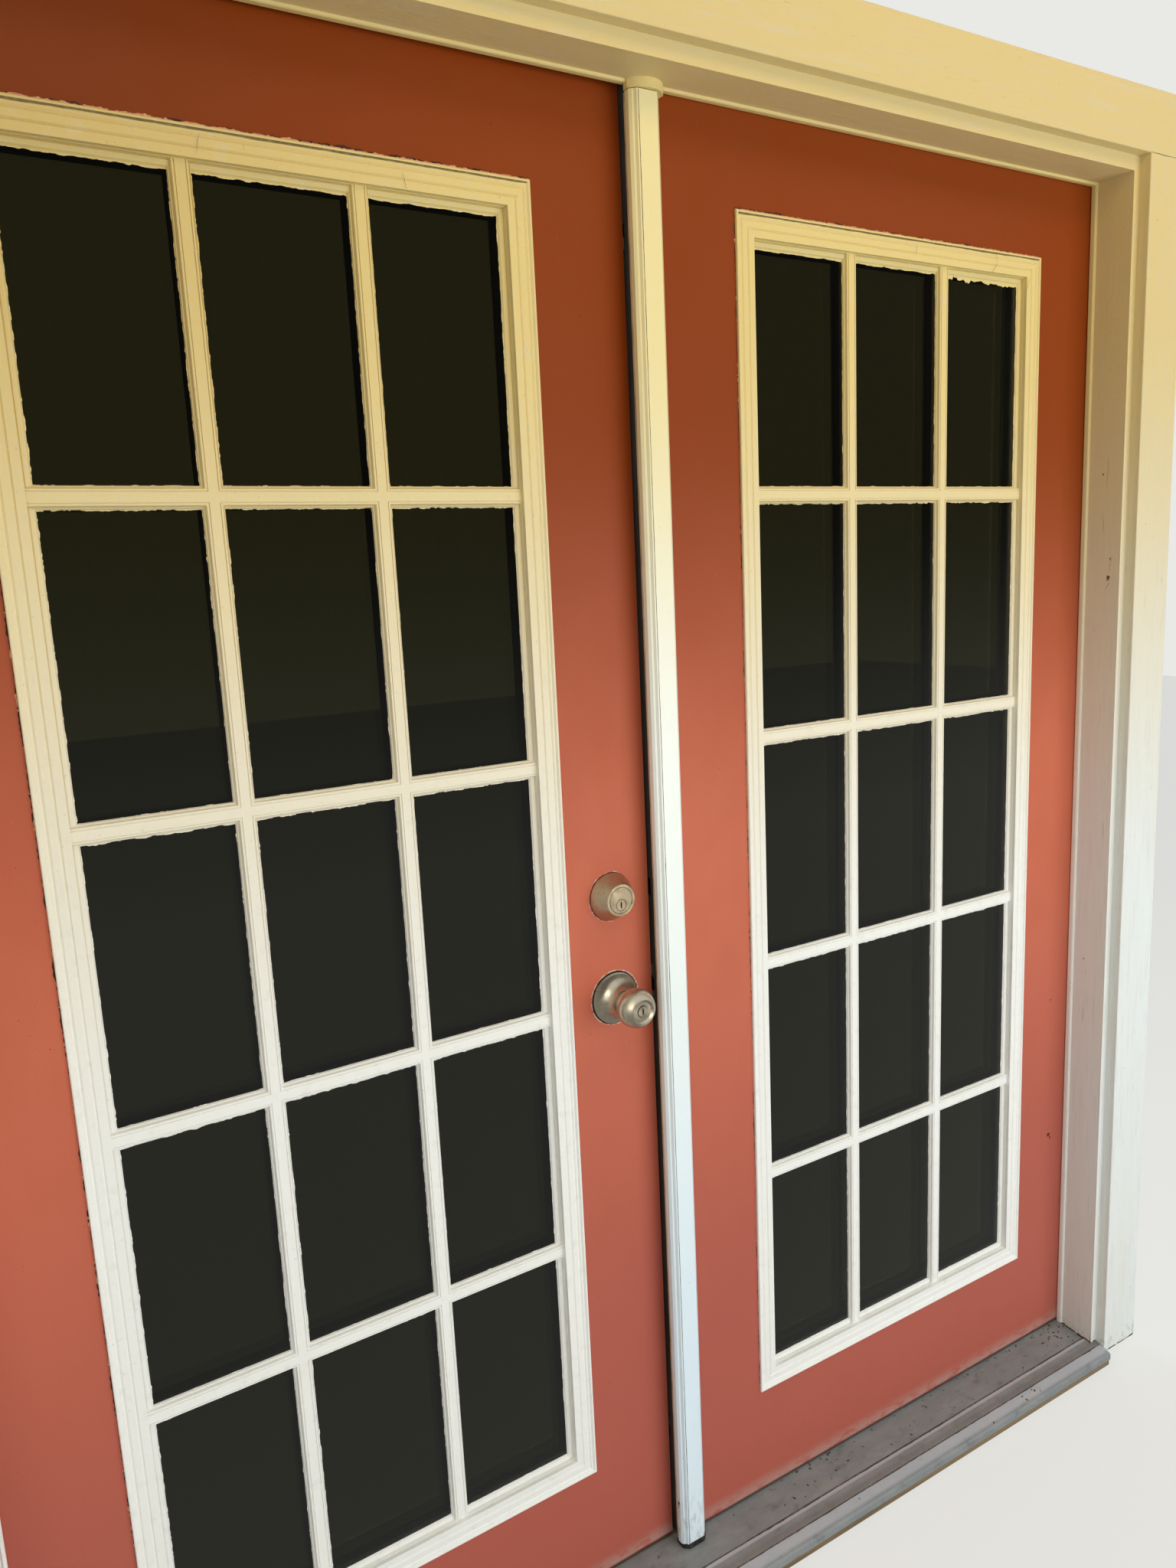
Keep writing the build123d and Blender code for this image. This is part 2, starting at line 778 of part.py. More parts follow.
def deadbolt_collar():
    groove = ring_radius - ring_groove
    collar = turned([
        (0, 0), (collar_radius, 0), (collar_radius, collar_rim),
        (collar_face_radius + collar_bevel, collar_length - collar_bevel_length),
        (collar_face_radius, collar_length),
        (ring_radius, collar_length), (ring_radius, collar_length - ring_groove),
        (groove, collar_length - ring_groove), (groove, collar_length), (0, collar_length),
    ])
    plug_bore = rod_along_z(
        plug_radius + plug_clearance, 0, -plug_drop, collar_length - plug_length, collar_length
    )
    return collar - plug_bore - rod_along_z(tail_bore, 0, -plug_drop, 0, collar_length)


# A turned piece's own -Y points down once it faces the outside
def key_plug(front):
    return rod_along_z(plug_radius, 0, 0, front - plug_length + plug_clearance, front)


def thumb_turn():
    stem = rod_along_z(thumb_radius, 0, 0, knob_foot, thumb_start + thumb_blade_round)
    blade = block(
        -thumb_width / 2, thumb_width / 2, -thumb_height / 2, thumb_height / 2,
        thumb_start, thumb_start + thumb_reach,
    )
    blade = fillet(blade.edges().filter_by(Axis.X), thumb_blade_round)
    tail_end = -leaf_thickness - (collar_length - plug_length) + strip_clearance
    width, thickness = tail_width / 2, tail_thickness / 2
    return stem + blade + block(-thickness, thickness, -width, width, tail_end, knob_foot)


inner_cover = turned([
    (thumb_radius + neck_clearance, 0), (collar_radius, 0), (collar_radius, collar_rim),
    (collar_radius - collar_rim, inner_rose_length),
    (thumb_radius + neck_clearance, inner_rose_length),
])
tail_height = deadbolt_height - plug_drop
knob_spindle = block(
    lock_x - spindle_size / 2, lock_x + spindle_size / 2,
    leaf_front - knob_foot, frame_depth + knob_foot,
    knob_height - spindle_size / 2, knob_height + spindle_size / 2,
)


# Bolts and their cases, drilled in from the lock edge
def bolt_case(height, radius, section, inside, cross_height, cross_radius):
    width, tall = section[0] / 2 + slide_clearance, section[1] / 2 + slide_clearance
    case = rod_along_x(radius, lock_x - spindle_size - case_tail, -lock_edge, leaf_middle, height)
    case += block(
        -lock_edge - face_plate_thickness, -lock_edge,
        leaf_middle - face_plate_width / 2, leaf_middle + face_plate_width / 2,
        height - face_plate_height / 2, height + face_plate_height / 2,
    )
    case -= block(
        -lock_edge - inside, -lock_edge, leaf_middle - width, leaf_middle + width,
        height - tall, height + tall,
    )
    return case - rod_along_y(cross_radius, lock_x, 0, 2 * frame_depth, cross_height)


def latch_bolt():
    half = latch_thickness / 2
    tip = -lock_edge + latch_rest
    outline = [
        (-lock_edge - latch_inside, leaf_middle - half),
        (tip - latch_thickness, leaf_middle - half),
        (tip, leaf_middle + half - latch_rest),
        (tip, leaf_middle + half),
        (-lock_edge - latch_inside, leaf_middle + half),
    ]
    return along_z(outline, knob_height - latch_height / 2, knob_height + latch_height / 2)


deadbolt_bolt = block(
    -lock_edge - bolt_inside, -lock_edge,
    leaf_middle - bolt_thickness / 2, leaf_middle + bolt_thickness / 2,
    deadbolt_height - bolt_height / 2, deadbolt_height + bolt_height / 2,
)
latch_case = bolt_case(
    knob_height, latch_case_radius, (latch_thickness, latch_height),
    latch_inside + latch_rest + slide_clearance, knob_height, spindle_bore,
)
deadbolt_case = bolt_case(
    deadbolt_height, bolt_case_radius, (bolt_thickness, bolt_height),
    bolt_inside + slide_clearance, tail_height, tail_bore,
)
lock_nodes = {
    "outer_rose": outward(knob_rose(), lock_x, knob_height),
    "inner_rose": inward(knob_rose(), lock_x, knob_height),
    "outer_knob": outward(knob_shape(True), lock_x, knob_height),
    "inner_knob": inward(knob_shape(False), lock_x, knob_height) + knob_spindle,
    "knob_key_plug": outward(key_plug(knob_front - dish_depth + plug_proud), lock_x, knob_height),
    "latch_bolt": latch_bolt(),
    "latch_case": latch_case,
    "deadbolt_collar": outward(deadbolt_collar(), lock_x, deadbolt_height),
    "deadbolt_key_plug": outward(key_plug(collar_length), lock_x, tail_height),
    "deadbolt_bolt": deadbolt_bolt,
    "deadbolt_case": deadbolt_case,
    "deadbolt_inner_rose": inward(inner_cover, lock_x, tail_height),
    "thumb_turn": inward(thumb_turn(), lock_x, tail_height),
}
for name, shape in lock_nodes.items():
    parts[name] = swung_ajar(shape)


# Astragal on the right leaf: metal body in the gap, fluted cover over it
cover_foot = sill_rise + cover_foot_gap
cover_top = head_stop - head_block_height - cover_top_gap
bevel_right = cover_left + cover_bevel
bevel_fall = cover_corner_y - cover_front_y
ogee = [
    (cover_left + across * cover_bevel, cover_corner_y - rise * bevel_fall)
    for across, rise in cover_ogee
]
cover_section = [
    (body_left, cover_back_y),
    (cover_left, cover_back_y),
    (cover_left, cover_corner_y),
    *ogee,
    (bevel_right, cover_front_y),
    (bevel_right, cover_front_y + cover_groove),
    (bevel_right + cover_groove, cover_front_y + cover_groove),
    (bevel_right + cover_groove, cover_front_y),
    (cover_right - cover_chamfer, cover_front_y),
    (cover_right, cover_front_y + cover_chamfer),
    (cover_right, leaf_front - cover_flange_thickness),
    (cover_right + cover_flange, leaf_front - cover_flange_thickness),
    (cover_right + cover_flange, leaf_front),
    (body_left, leaf_front),
]
cover_chamber = block(
    body_left + cover_wall, cover_right - cover_wall,
    cover_front_y + cover_wall, leaf_front - cover_wall, cover_foot, cover_top,
)
parts["astragal_cover"] = along_z(cover_section, cover_foot, cover_top) - cover_chamber


def body_hollow(x0, x1, z0, z1):
    return block(x0, x1, leaf_front + body_wall, frame_depth - body_wall, z0, z1)


def strike_cuts(x0, x1):
    pocket_back = frame_depth - body_wall
    cuts = [
        block(x0, x1, pocket_front, pocket_back, height - half, height + half)
        for height, half in ((knob_height, latch_slot / 2), (deadbolt_height, bolt_slot / 2))
    ]
    for side in (-1, 1):
        low = deadbolt_height + side * screw_pocket_offset - screw_pocket / 2
        middle = (pocket_front + pocket_back) / 2
        y0, y1 = middle - screw_pocket / 2, middle + screw_pocket / 2
        cuts.append(block(x0, x1, y0, y1, low, low + screw_pocket))
    return cuts


# Flush bolts, drawn back at rest, with a thumb tab in a slot of the body
def tab_place(end, direction, travel):
    near = end - direction * (flush_length - flush_tab_height)
    far = near + direction * (flush_tab_height + travel)
    slack = slide_clearance if travel else 0
    return min(near, far) - slack, max(near, far) + slack


def flush_bolt(end, direction):
    back = end - direction * flush_length
    rod = rod_along_z(flush_radius, flush_x, flush_y, min(end, back), max(end, back))
    low, high = tab_place(end, direction, 0)
    half = flush_tab_width / 2
    return rod + block(
        body_left - flush_tab_proud, flush_x, flush_y - half, flush_y + half, low, high
    )


def tab_slot(end, direction):
    low, high = tab_place(end, direction, flush_throw)
    half = flush_tab_width / 2 + slide_clearance
    x1 = body_left + body_wall
    return block(body_left, x1, flush_y - half, flush_y + half, low, high)


def bolt_guide(low):
    bored = body_hollow(body_left + body_wall, body_right - body_wall, low, low + guide_height)
    bore = rod_along_z(
        flush_radius + guide_clearance, flush_x, flush_y, low, low + guide_height
    )
    return bored - bore


flush_ends = ((leaf_top - slide_clearance, 1), (leaf_foot + slide_clearance, -1))
body_shell = block(body_left, body_right, leaf_front, frame_depth, leaf_foot, leaf_top)
body_shell -= body_hollow(body_left + body_wall, body_right - body_wall, leaf_foot, leaf_top)
body_shell -= strike_cuts(body_left, body_left + body_wall)
parts["astragal_body"] = body_shell - [tab_slot(end, way) for end, way in flush_ends]
parts["top_flush_bolt"] = flush_bolt(*flush_ends[0])
parts["bottom_flush_bolt"] = flush_bolt(*flush_ends[1])
guide_spots = [leaf_top - flush_throw - guide_height, leaf_top - guide_drop]
guide_spots += [leaf_foot + flush_throw, leaf_foot + guide_drop - guide_height]
parts["astragal_bolt_guides"] = Part() + [bolt_guide(low) for low in guide_spots]


# Strike plates behind the cut-outs, each with a hole for its own bolt
def strike_plate(height, hole):
    x0 = body_left + body_wall
    reach = strike_height / 2
    plate = body_hollow(x0, x0 + strike_thickness, height - reach, height + reach)
    y0, y1 = pocket_front, frame_depth - body_wall
    return plate - block(x0, x0 + strike_thickness, y0, y1, height - hole / 2, height + hole / 2)


parts["astragal_strikes"] = strike_plate(knob_height, latch_height + bolt_slot - bolt_height)
parts["astragal_strikes"] += strike_plate(deadbolt_height, bolt_slot)


# Bulb strip behind the cover, and the rubber seal on the cover's foot
bulb_size = (body_left - bulb_left, strip_back - cover_back_y)
bulb_place = ((bulb_left + body_left) / 2, (cover_back_y + strip_back) / 2, cover_foot)
bulb_face = Pos(bulb_place) * RectangleRounded(*bulb_size, bulb_round)
parts["astragal_weatherstrip"] = extrude(bulb_face, cover_top - cover_foot)
seal_back = leaf_front - cover_flange_thickness
seal_section = [
    (cover_left + seal_rim, seal_back),
    (cover_left + seal_rim, cover_corner_y - seal_rim),
    (bevel_right, cover_front_y - seal_rim),
    (cover_right - cover_chamfer, cover_front_y - seal_rim),
    (cover_right + seal_rim, cover_front_y + cover_chamfer),
    (cover_right + seal_rim, seal_back),
]
parts["astragal_bottom_seal"] = along_z(seal_section, sill_rise + seal_clearance, cover_foot)

for name, shape in parts.items():
    export_step(shape, f"parts/{name}.step")
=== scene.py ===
import json
import math

import bmesh
import bpy
from mathutils import Matrix, Vector, noise


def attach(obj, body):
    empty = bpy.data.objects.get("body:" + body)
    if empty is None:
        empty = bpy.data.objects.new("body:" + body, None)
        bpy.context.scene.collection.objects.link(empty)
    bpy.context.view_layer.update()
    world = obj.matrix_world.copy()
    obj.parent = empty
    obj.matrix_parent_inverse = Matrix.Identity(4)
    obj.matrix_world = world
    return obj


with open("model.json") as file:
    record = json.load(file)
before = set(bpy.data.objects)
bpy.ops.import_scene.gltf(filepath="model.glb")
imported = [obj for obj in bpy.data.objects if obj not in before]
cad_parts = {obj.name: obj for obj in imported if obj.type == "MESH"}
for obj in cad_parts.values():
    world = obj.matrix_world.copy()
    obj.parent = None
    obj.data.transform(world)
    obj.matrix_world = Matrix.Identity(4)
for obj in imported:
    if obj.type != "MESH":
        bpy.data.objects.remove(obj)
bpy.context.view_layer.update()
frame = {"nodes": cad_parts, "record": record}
print("frame loaded")

mm = 0.001


# Small helpers
def colour(hexText):
    # an sRGB hex value as the linear colour that shaders take
    channels = [int(hexText[i:i + 2], 16) / 255 for i in (1, 3, 5)]
    linear = [c / 12.92 if c <= 0.04045 else ((c + 0.055) / 1.055) ** 2.4 for c in channels]
    return (*linear, 1.0)


def addNode(tree, kind, settings=None, links=None):
    # one node, with its settings (attributes or input values) and its incoming links
    node = tree.nodes.new(kind)
    for key, value in (settings or {}).items():
        if isinstance(key, str) and hasattr(node, key):
            setattr(node, key, value)
        else:
            node.inputs[key].default_value = value
    for key, source in (links or {}).items():
        tree.links.new(source, node.inputs[key])
    return node


def addObject(name, data):
    thing = bpy.data.objects.new(name, data)
    bpy.context.scene.collection.objects.link(thing)
    return thing


def newMesh(name, verts, faces, material=None):
    mesh = bpy.data.meshes.new(name)
    mesh.from_pydata([tuple(v) for v in verts], [], faces)
    mesh.update()
    if material:
        mesh.materials.append(material)
    return mesh


def addPiece(name, mesh, body):
    # a visible piece that moves with a CAD body
    piece = addObject(name, mesh)
    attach(piece, body)


# Camera at the photograph's viewing point, in metres and degrees
cameraView = {
    "place": (-0.82785, -1.12670, 1.45227),
    "yaw": 30.9051,
    "pitch": 10.3158,
    "roll": -2.7277,
    "lens": 25.777,
    "sensorHeight": 36,
    "clipStart": 0.02,
}


def placeCamera(view):
    yaw, pitch, roll = (math.radians(view[k]) for k in ("yaw", "pitch", "roll"))
    ahead = Vector((math.sin(yaw) * math.cos(pitch), math.cos(yaw) * math.cos(pitch), -math.sin(pitch)))
    right = Vector((math.cos(yaw), -math.sin(yaw), 0))
    up = right.cross(ahead)
    right, up = (
        math.cos(roll) * right + math.sin(roll) * up,
        math.cos(roll) * up - math.sin(roll) * right,
    )
    camera = addObject("camera", bpy.data.cameras.new("camera"))
    axes = Matrix((right, up, -ahead)).transposed().to_4x4()
    camera.matrix_world = Matrix.Translation(view["place"]) @ axes
    camera.data.lens = view["lens"]
    camera.data.sensor_fit = "VERTICAL"
    camera.data.sensor_height = view["sensorHeight"]
    camera.data.clip_start = view["clipStart"]
    bpy.context.scene.camera = camera


placeCamera(cameraView)
bpy.context.scene.view_settings.view_transform = "Standard"


# Studio: pale floor and sky, soft lamps, and a dark flag in front that only gloss and glass see
studio = {
    "floorSize": 24.0, "floor": "#e4e3df", "floorRoughness": 0.9,
    "floorSeen": "#f4f4f1", "floorLift": 0.65,
    "mirrored": "#8a8a88",
    "sky": "#e9e9e6", "ambient": 0.45, "ambientColour": "#eff4f5",
    "flagColour": "#3b3934", "flagFade": (-0.3, 2.0),
    "flagY": -4.0, "flagAcross": (-3.2, 12.0), "flagUp": (-0.5, 4.2),
}
lamps = {
    # place, the point it aims at, size, power, tint, and whether only gloss sees it
    "keyLamp": ((1.3, -2.7, 1.25), (0, 0, 0.95), (2.8, 1.6), 57.0, "#eff6fb", False),
    "fillLamp": ((-1.9, -2.3, 1.5), (0.5, 0, 1.0), (1.4, 1.4), 11.0, "#fbf9ec", False),
    "backLamp": ((0.5, 3.0, 1.8), (0, 0, 1.0), (2.6, 1.6), 42.0, "#f1f5fa", False),
    "warmLamp": ((0.3, -1.1, 2.9), (0, 0.1, 1.9), (2.6, 0.6), 9.5, "#ffd060", False),
    "rimLamp": ((-2.2, -1.5, 2.2), (0, 0, 1.0), (1.5, 1.5), 20.0, "#fff6e6", True),
    "glintLamp": ((1.71, -2.75, 0.26), (-0.08, 0.05, 0.97), (0.42, 0.40), 4.6, "#fff6e6", True),
}


def softLamp(name, place, aim, size, power, tint, onlyGloss):
    lamp = bpy.data.lights.new(name, "AREA")
    lamp.shape = "RECTANGLE"
    lamp.size, lamp.size_y = size
    lamp.energy = power
    lamp.color = colour(tint)[:3]
    holder = addObject(name, lamp)
    ahead = Vector(aim) - Vector(place)
    holder.location = place
    holder.rotation_euler = ahead.to_track_quat("-Z", "Y").to_euler()
    holder.visible_transmission = False
    holder.visible_glossy = onlyGloss
    holder.visible_diffuse = not onlyGloss


def emptyMaterial(name):
    material = bpy.data.materials.new(name)
    material.use_nodes = True
    material.node_tree.nodes.clear()
    return material, material.node_tree


def seenBy(tree, *rays):
    # 1 for each of the rays that are named, and 0 for the others
    path = addNode(tree, "ShaderNodeLightPath")
    seen = path.outputs[rays[0]]
    for ray in rays[1:]:
        both = addNode(tree, "ShaderNodeMath", {"operation": "MAXIMUM"}, {0: seen, 1: path.outputs[ray]})
        seen = both.outputs[0]
    return seen


def paleFloorMaterial():
    # the camera sees the lit floor lifted towards its own pale colour, with the shadow kept;
    # gloss and glass see one even grey, so no lamp patch is mirrored in the panes
    material, tree = emptyMaterial("paleFloor")
    lit = addNode(tree, "ShaderNodeBsdfPrincipled", {
        "Base Color": colour(studio["floor"]), "Roughness": studio["floorRoughness"],
    })
    glow = addNode(tree, "ShaderNodeEmission", {"Color": colour(studio["floorSeen"])})
    even = addNode(tree, "ShaderNodeEmission", {"Color": colour(studio["mirrored"])})
    lift = addNode(tree, "ShaderNodeMath", {"operation": "MULTIPLY", 1: studio["floorLift"]}, {
        0: seenBy(tree, "Is Camera Ray"),
    })
    seen = addNode(tree, "ShaderNodeMixShader", None, {
        0: lift.outputs[0], 1: lit.outputs[0], 2: glow.outputs[0],
    })
    both = addNode(tree, "ShaderNodeMixShader", None, {
        0: seenBy(tree, "Is Glossy Ray", "Is Transmission Ray"), 1: seen.outputs[0], 2: even.outputs[0],
    })
    addNode(tree, "ShaderNodeOutputMaterial", None, {"Surface": both.outputs[0]})
    return material


def flagMaterial():
    # a cloth that goes from the mirrored floor's grey to near black, so the panes darken upwards
    material, tree = emptyMaterial("darkFlagCloth")
    place = addNode(tree, "ShaderNodeTexCoord")
    split = addNode(tree, "ShaderNodeSeparateXYZ", None, {0: place.outputs["Object"]})
    low, high = studio["flagFade"]
    height = addNode(tree, "ShaderNodeMapRange", {
        "interpolation_type": "SMOOTHSTEP", "From Min": low, "From Max": high,
    }, {"Value": split.outputs["Z"]})
    tone = addNode(tree, "ShaderNodeMix", {
        "data_type": "RGBA", 6: colour(studio["mirrored"]), 7: colour(studio["flagColour"]),
    }, {0: height.outputs[0]})
    cloth = addNode(tree, "ShaderNodeEmission", None, {"Color": tone.outputs[2]})
    addNode(tree, "ShaderNodeOutputMaterial", None, {"Surface": cloth.outputs[0]})
    return material


def paleWorld():
    world = bpy.context.scene.world or bpy.data.worlds.new("world")
    bpy.context.scene.world = world
    world.use_nodes = True
    tree = world.node_tree
    tree.nodes.clear()
    lit = addNode(tree, "ShaderNodeBackground", {
        "Color": colour(studio["ambientColour"]), "Strength": studio["ambient"],
    })
    pale = addNode(tree, "ShaderNodeBackground", {"Color": colour(studio["sky"]), "Strength": 1.0})
    both = addNode(tree, "ShaderNodeMixShader", None, {
        0: seenBy(tree, "Is Camera Ray", "Is Glossy Ray", "Is Transmission Ray"),
        1: lit.outputs[0], 2: pale.outputs[0],
    })
    addNode(tree, "ShaderNodeOutputWorld", None, {"Surface": both.outputs[0]})


def buildStudio():
    half = studio["floorSize"] / 2
    corners = [(-half, -half, 0), (half, -half, 0), (half, half, 0), (-half, half, 0)]
    floor = addObject("floor", newMesh("floor", corners, [(0, 1, 2, 3)], paleFloorMaterial()))
    y, (left, right), (low, high) = (studio[k] for k in ("flagY", "flagAcross", "flagUp"))
    corners = [(left, y, low), (right, y, low), (right, y, high), (left, y, high)]
    flag = addObject("darkFlag", newMesh("darkFlag", corners, [(0, 1, 2, 3)], flagMaterial()))
    for rays in ("camera", "diffuse", "volume_scatter", "shadow"):
        setattr(flag, "visible_" + rays, False)
    for name, settings in lamps.items():
        softLamp(name, *settings)
    paleWorld()


buildStudio()
print("studio ready")


# Finishes: what each surface is, how it was made and how it has worn
def newFinish(name, sockets):
    # an empty finish: its shader, and the place of each point of the piece in metres
    material, tree = emptyMaterial(name)
    shader = addNode(tree, "ShaderNodeBsdfPrincipled", sockets)
    addNode(tree, "ShaderNodeOutputMaterial", None, {"Surface": shader.outputs[0]})
    place = addNode(tree, "ShaderNodeTexCoord").outputs["Object"]
    return material, tree, shader, place


def mottle(tree, place, size, low, high, ends=(0.0, 1.0), detail=4.0):
    # soft-edged patches about that many millimetres across, in all ways or along x, y and z
    sizes = size if isinstance(size, (tuple, list)) else (size,) * 3
    scaled = addNode(tree, "ShaderNodeMapping", {"Scale": [1000 / s for s in sizes]}, {"Vector": place})
    field = addNode(tree, "ShaderNodeTexNoise", {
        "Scale": 1.0, "Detail": detail, "Roughness": 0.6,
    }, {"Vector": scaled.outputs[0]})
    return addNode(tree, "ShaderNodeMapRange", {
        "interpolation_type": "SMOOTHSTEP",
        "From Min": low, "From Max": high, "To Min": ends[0], "To Max": ends[1],
    }, {"Value": field.outputs[0]}).outputs[0]


def along(tree, place, axis, reach):
    # a slow change from 0 to 1 over a reach of an axis, in metres
    parts = addNode(tree, "ShaderNodeSeparateXYZ", None, {0: place})
    return addNode(tree, "ShaderNodeMapRange", {
        "interpolation_type": "SMOOTHSTEP", "From Min": reach[0], "From Max": reach[1],
    }, {"Value": parts.outputs[axis]}).outputs[0]


def fromAxis(tree, place, centre):
    # the distance in metres from an axis along y
    offset = addNode(tree, "ShaderNodeVectorMath", {
        "operation": "SUBTRACT", 1: (centre[0], 0, centre[1]),
    }, {0: place})
    flat = addNode(tree, "ShaderNodeVectorMath", {"operation": "MULTIPLY", 1: (1, 0, 1)}, {
        0: offset.outputs[0],
    })
    far = addNode(tree, "ShaderNodeVectorMath", {"operation": "LENGTH"}, {0: flat.outputs[0]})
    return far.outputs["Value"]


def coat(tree, under, hexText, *covers):
    # a colour laid over another where every cover is 1; a cover is a socket or a share
    share = covers[0]
    for cover in covers[1:]:
        product = addNode(tree, "ShaderNodeMath", {"operation": "MULTIPLY"}, {0: share})
        if isinstance(cover, float):
            product.inputs[1].default_value = cover
        else:
            tree.links.new(cover, product.inputs[1])
        share = product.outputs[0]
    over = addNode(tree, "ShaderNodeMix", {"data_type": "RGBA", 7: colour(hexText)}, {0: share})
    if isinstance(under, str):
        over.inputs[6].default_value = colour(under)
    else:
        tree.links.new(under, over.inputs[6])
    return over.outputs[2]


def coats(tree, body, look, layers):
    # the body colour under coats, each the name of a colour of the look and its covers
    tone = body
    for name, *covers in layers:
        tone = coat(tree, tone, look[name], *covers)
    return tone


def dress(tree, shader, tone, roughness, *fields):
    # colour, roughness, and small heights in millimetres, one field on top of another
    tree.links.new(tone, shader.inputs["Base Color"])
    tree.links.new(roughness, shader.inputs["Roughness"])
    normal = None
    for field, height in fields:
        bump = addNode(tree, "ShaderNodeBump", {"Distance": height * mm}, {"Height": field})
        if normal:
            tree.links.new(normal, bump.inputs["Normal"])
        normal = bump.outputs[0]
    tree.links.new(normal, shader.inputs["Normal"])


# The axes of the knob and the deadbolt, x and z in metres
lockCentres = {"knob": (-0.0770, 0.902), "deadbolt": (-0.0770, 1.0417)}

# Leaf paint: latex rolled and brushed over steel, which gives an even satin with a faint skin
# the colour for the top of the leaves is painted shade
leafPaint = {
    "body": "#c96a4f", "cloud": "#c26449", "faded": "#b05a4d", "paintedTopShade": "#8a3a08",
    # the corner colour is painted shade for the top-left corner of the doorway
    "corner": "#6c2c06", "dust": "#b79085", "grime": "#4d2c22", "scratch": "#dca08c", "chip": "#e6dfd0",
    "gloss": 0.28, "roughness": (0.40, 0.52),
    "lowerToneUp": (1.05, 0.35), "paintedTopShadeUp": (1.02, 1.68),
    "shadedCornerAcross": (-0.15, -0.80), "shadedCornerUp": (1.5, 2.0),
    "dustUp": (0.072, 0.046), "grimeUp": (0.0465, 0.0435),
    "roller": 2.2, "rollerHeight": 0.05,  # real stipple is finer than a pixel
    "brush": (6, 60, 130), "brushHeight": 0.05,
    "dent": (160, 200, 240), "dentHeight": 0.5,
    # chips round each rose: its axis, the ring's inner and outer radius, and how much is left whole
    "roses": ((lockCentres["knob"], 0.0362, 0.0388, 0.47), (lockCentres["deadbolt"], 0.0322, 0.0350, 0.56)),
}


def ringShare(tree, place, centre, inner, outer):
    # 1 within a ring round an axis along y, fading out to nothing at its outer edge
    return addNode(tree, "ShaderNodeMapRange", {
        "From Min": inner, "From Max": outer, "To Min": 1.0, "To Max": 0.0,
    }, {"Value": fromAxis(tree, place, centre)}).outputs[0]


def rolledLatexOnSteel(name, outdoorsWithPaintedLight):
    look = leafPaint
    # outside: painted shade at the top and the corner, and dust at the foot; inside: none of these
    share = 1.0 if outdoorsWithPaintedLight else 0.0
    material, tree, shader, place = newFinish(name, {"Specular IOR Level": look["gloss"]})
    # painted shade towards the top-left corner of the doorway
    nearShadedCorner = along(tree, place, 0, look["shadedCornerAcross"])
    ragged = mottle(tree, place, (22, 60, 10), 0.30, 0.55, detail=6.0)
    scratchedHere = mottle(tree, place, (140, 60, 160), 0.55, 0.62, detail=2.0)
    layers = [
        ("cloud", mottle(tree, place, (170, 60, 300), 0.40, 0.70, detail=3.0)),
        # darker and cooler towards the foot
        ("faded", along(tree, place, 2, look["lowerToneUp"]), 0.2 + 0.65 * share),
        # painted shade: the upper part of the leaf darker and browner
        ("paintedTopShade", along(tree, place, 2, look["paintedTopShadeUp"]), share),
        # painted shade in the top-left corner
        ("corner", nearShadedCorner, along(tree, place, 2, look["shadedCornerUp"]), 0.6 * share),
        ("dust", along(tree, place, 2, look["dustUp"]), ragged, 0.75 * share),
        ("grime", along(tree, place, 2, look["grimeUp"]), 0.85),
        ("scratch", mottle(tree, place, (1.4, 60, 14), 0.74, 0.78, detail=2.0), scratchedHere, 0.45),
        ("grime", mottle(tree, place, (4, 60, 4), 0.80, 0.815, detail=1.0), 0.75),
    ]
    for centre, inner, outer, whole in look["roses"]:
        flakes = mottle(tree, place, (4, 60, 4), whole, whole + 0.03)
        layers.append(("chip", ringShare(tree, place, centre, inner, outer), flakes))
    dress(
        tree, shader, coats(tree, look["body"], look, layers),
        mottle(tree, place, (60, 60, 120), 0.3, 0.7, look["roughness"]),
        (mottle(tree, place, look["roller"], 0.0, 1.0, detail=2.0), look["rollerHeight"]),
        (mottle(tree, place, look["brush"], 0.0, 1.0, detail=3.0), look["brushHeight"]),
        (mottle(tree, place, look["dent"], 0.0, 1.0, detail=1.0), look["dentHeight"]),
    )
    return material


# Trim paint: cream enamel brushed over pine, whose grain and nail dimples still show
# the warm colour is a random tint, and towards the top it is painted warm light
trimPaint = {
    "body": "#e5e8e6", "warmTintAndLight": "#d9c388", "shade": "#cdc7b9", "dirt": "#7d7262", "crack": "#77684f",
    "gloss": 0.4, "roughness": (0.38, 0.55),
    "warmLightUp": (0.85, 1.85), "dirtUp": (0.060, 0.018),
    "grainAcross": 3.0, "grainAlong": 120, "grainHeight": 0.16,
    "brushAcross": 1.6, "brushAlong": 60, "brushHeight": 0.06,
    "dimple": 9, "dimpleHeight": 0.25,
}


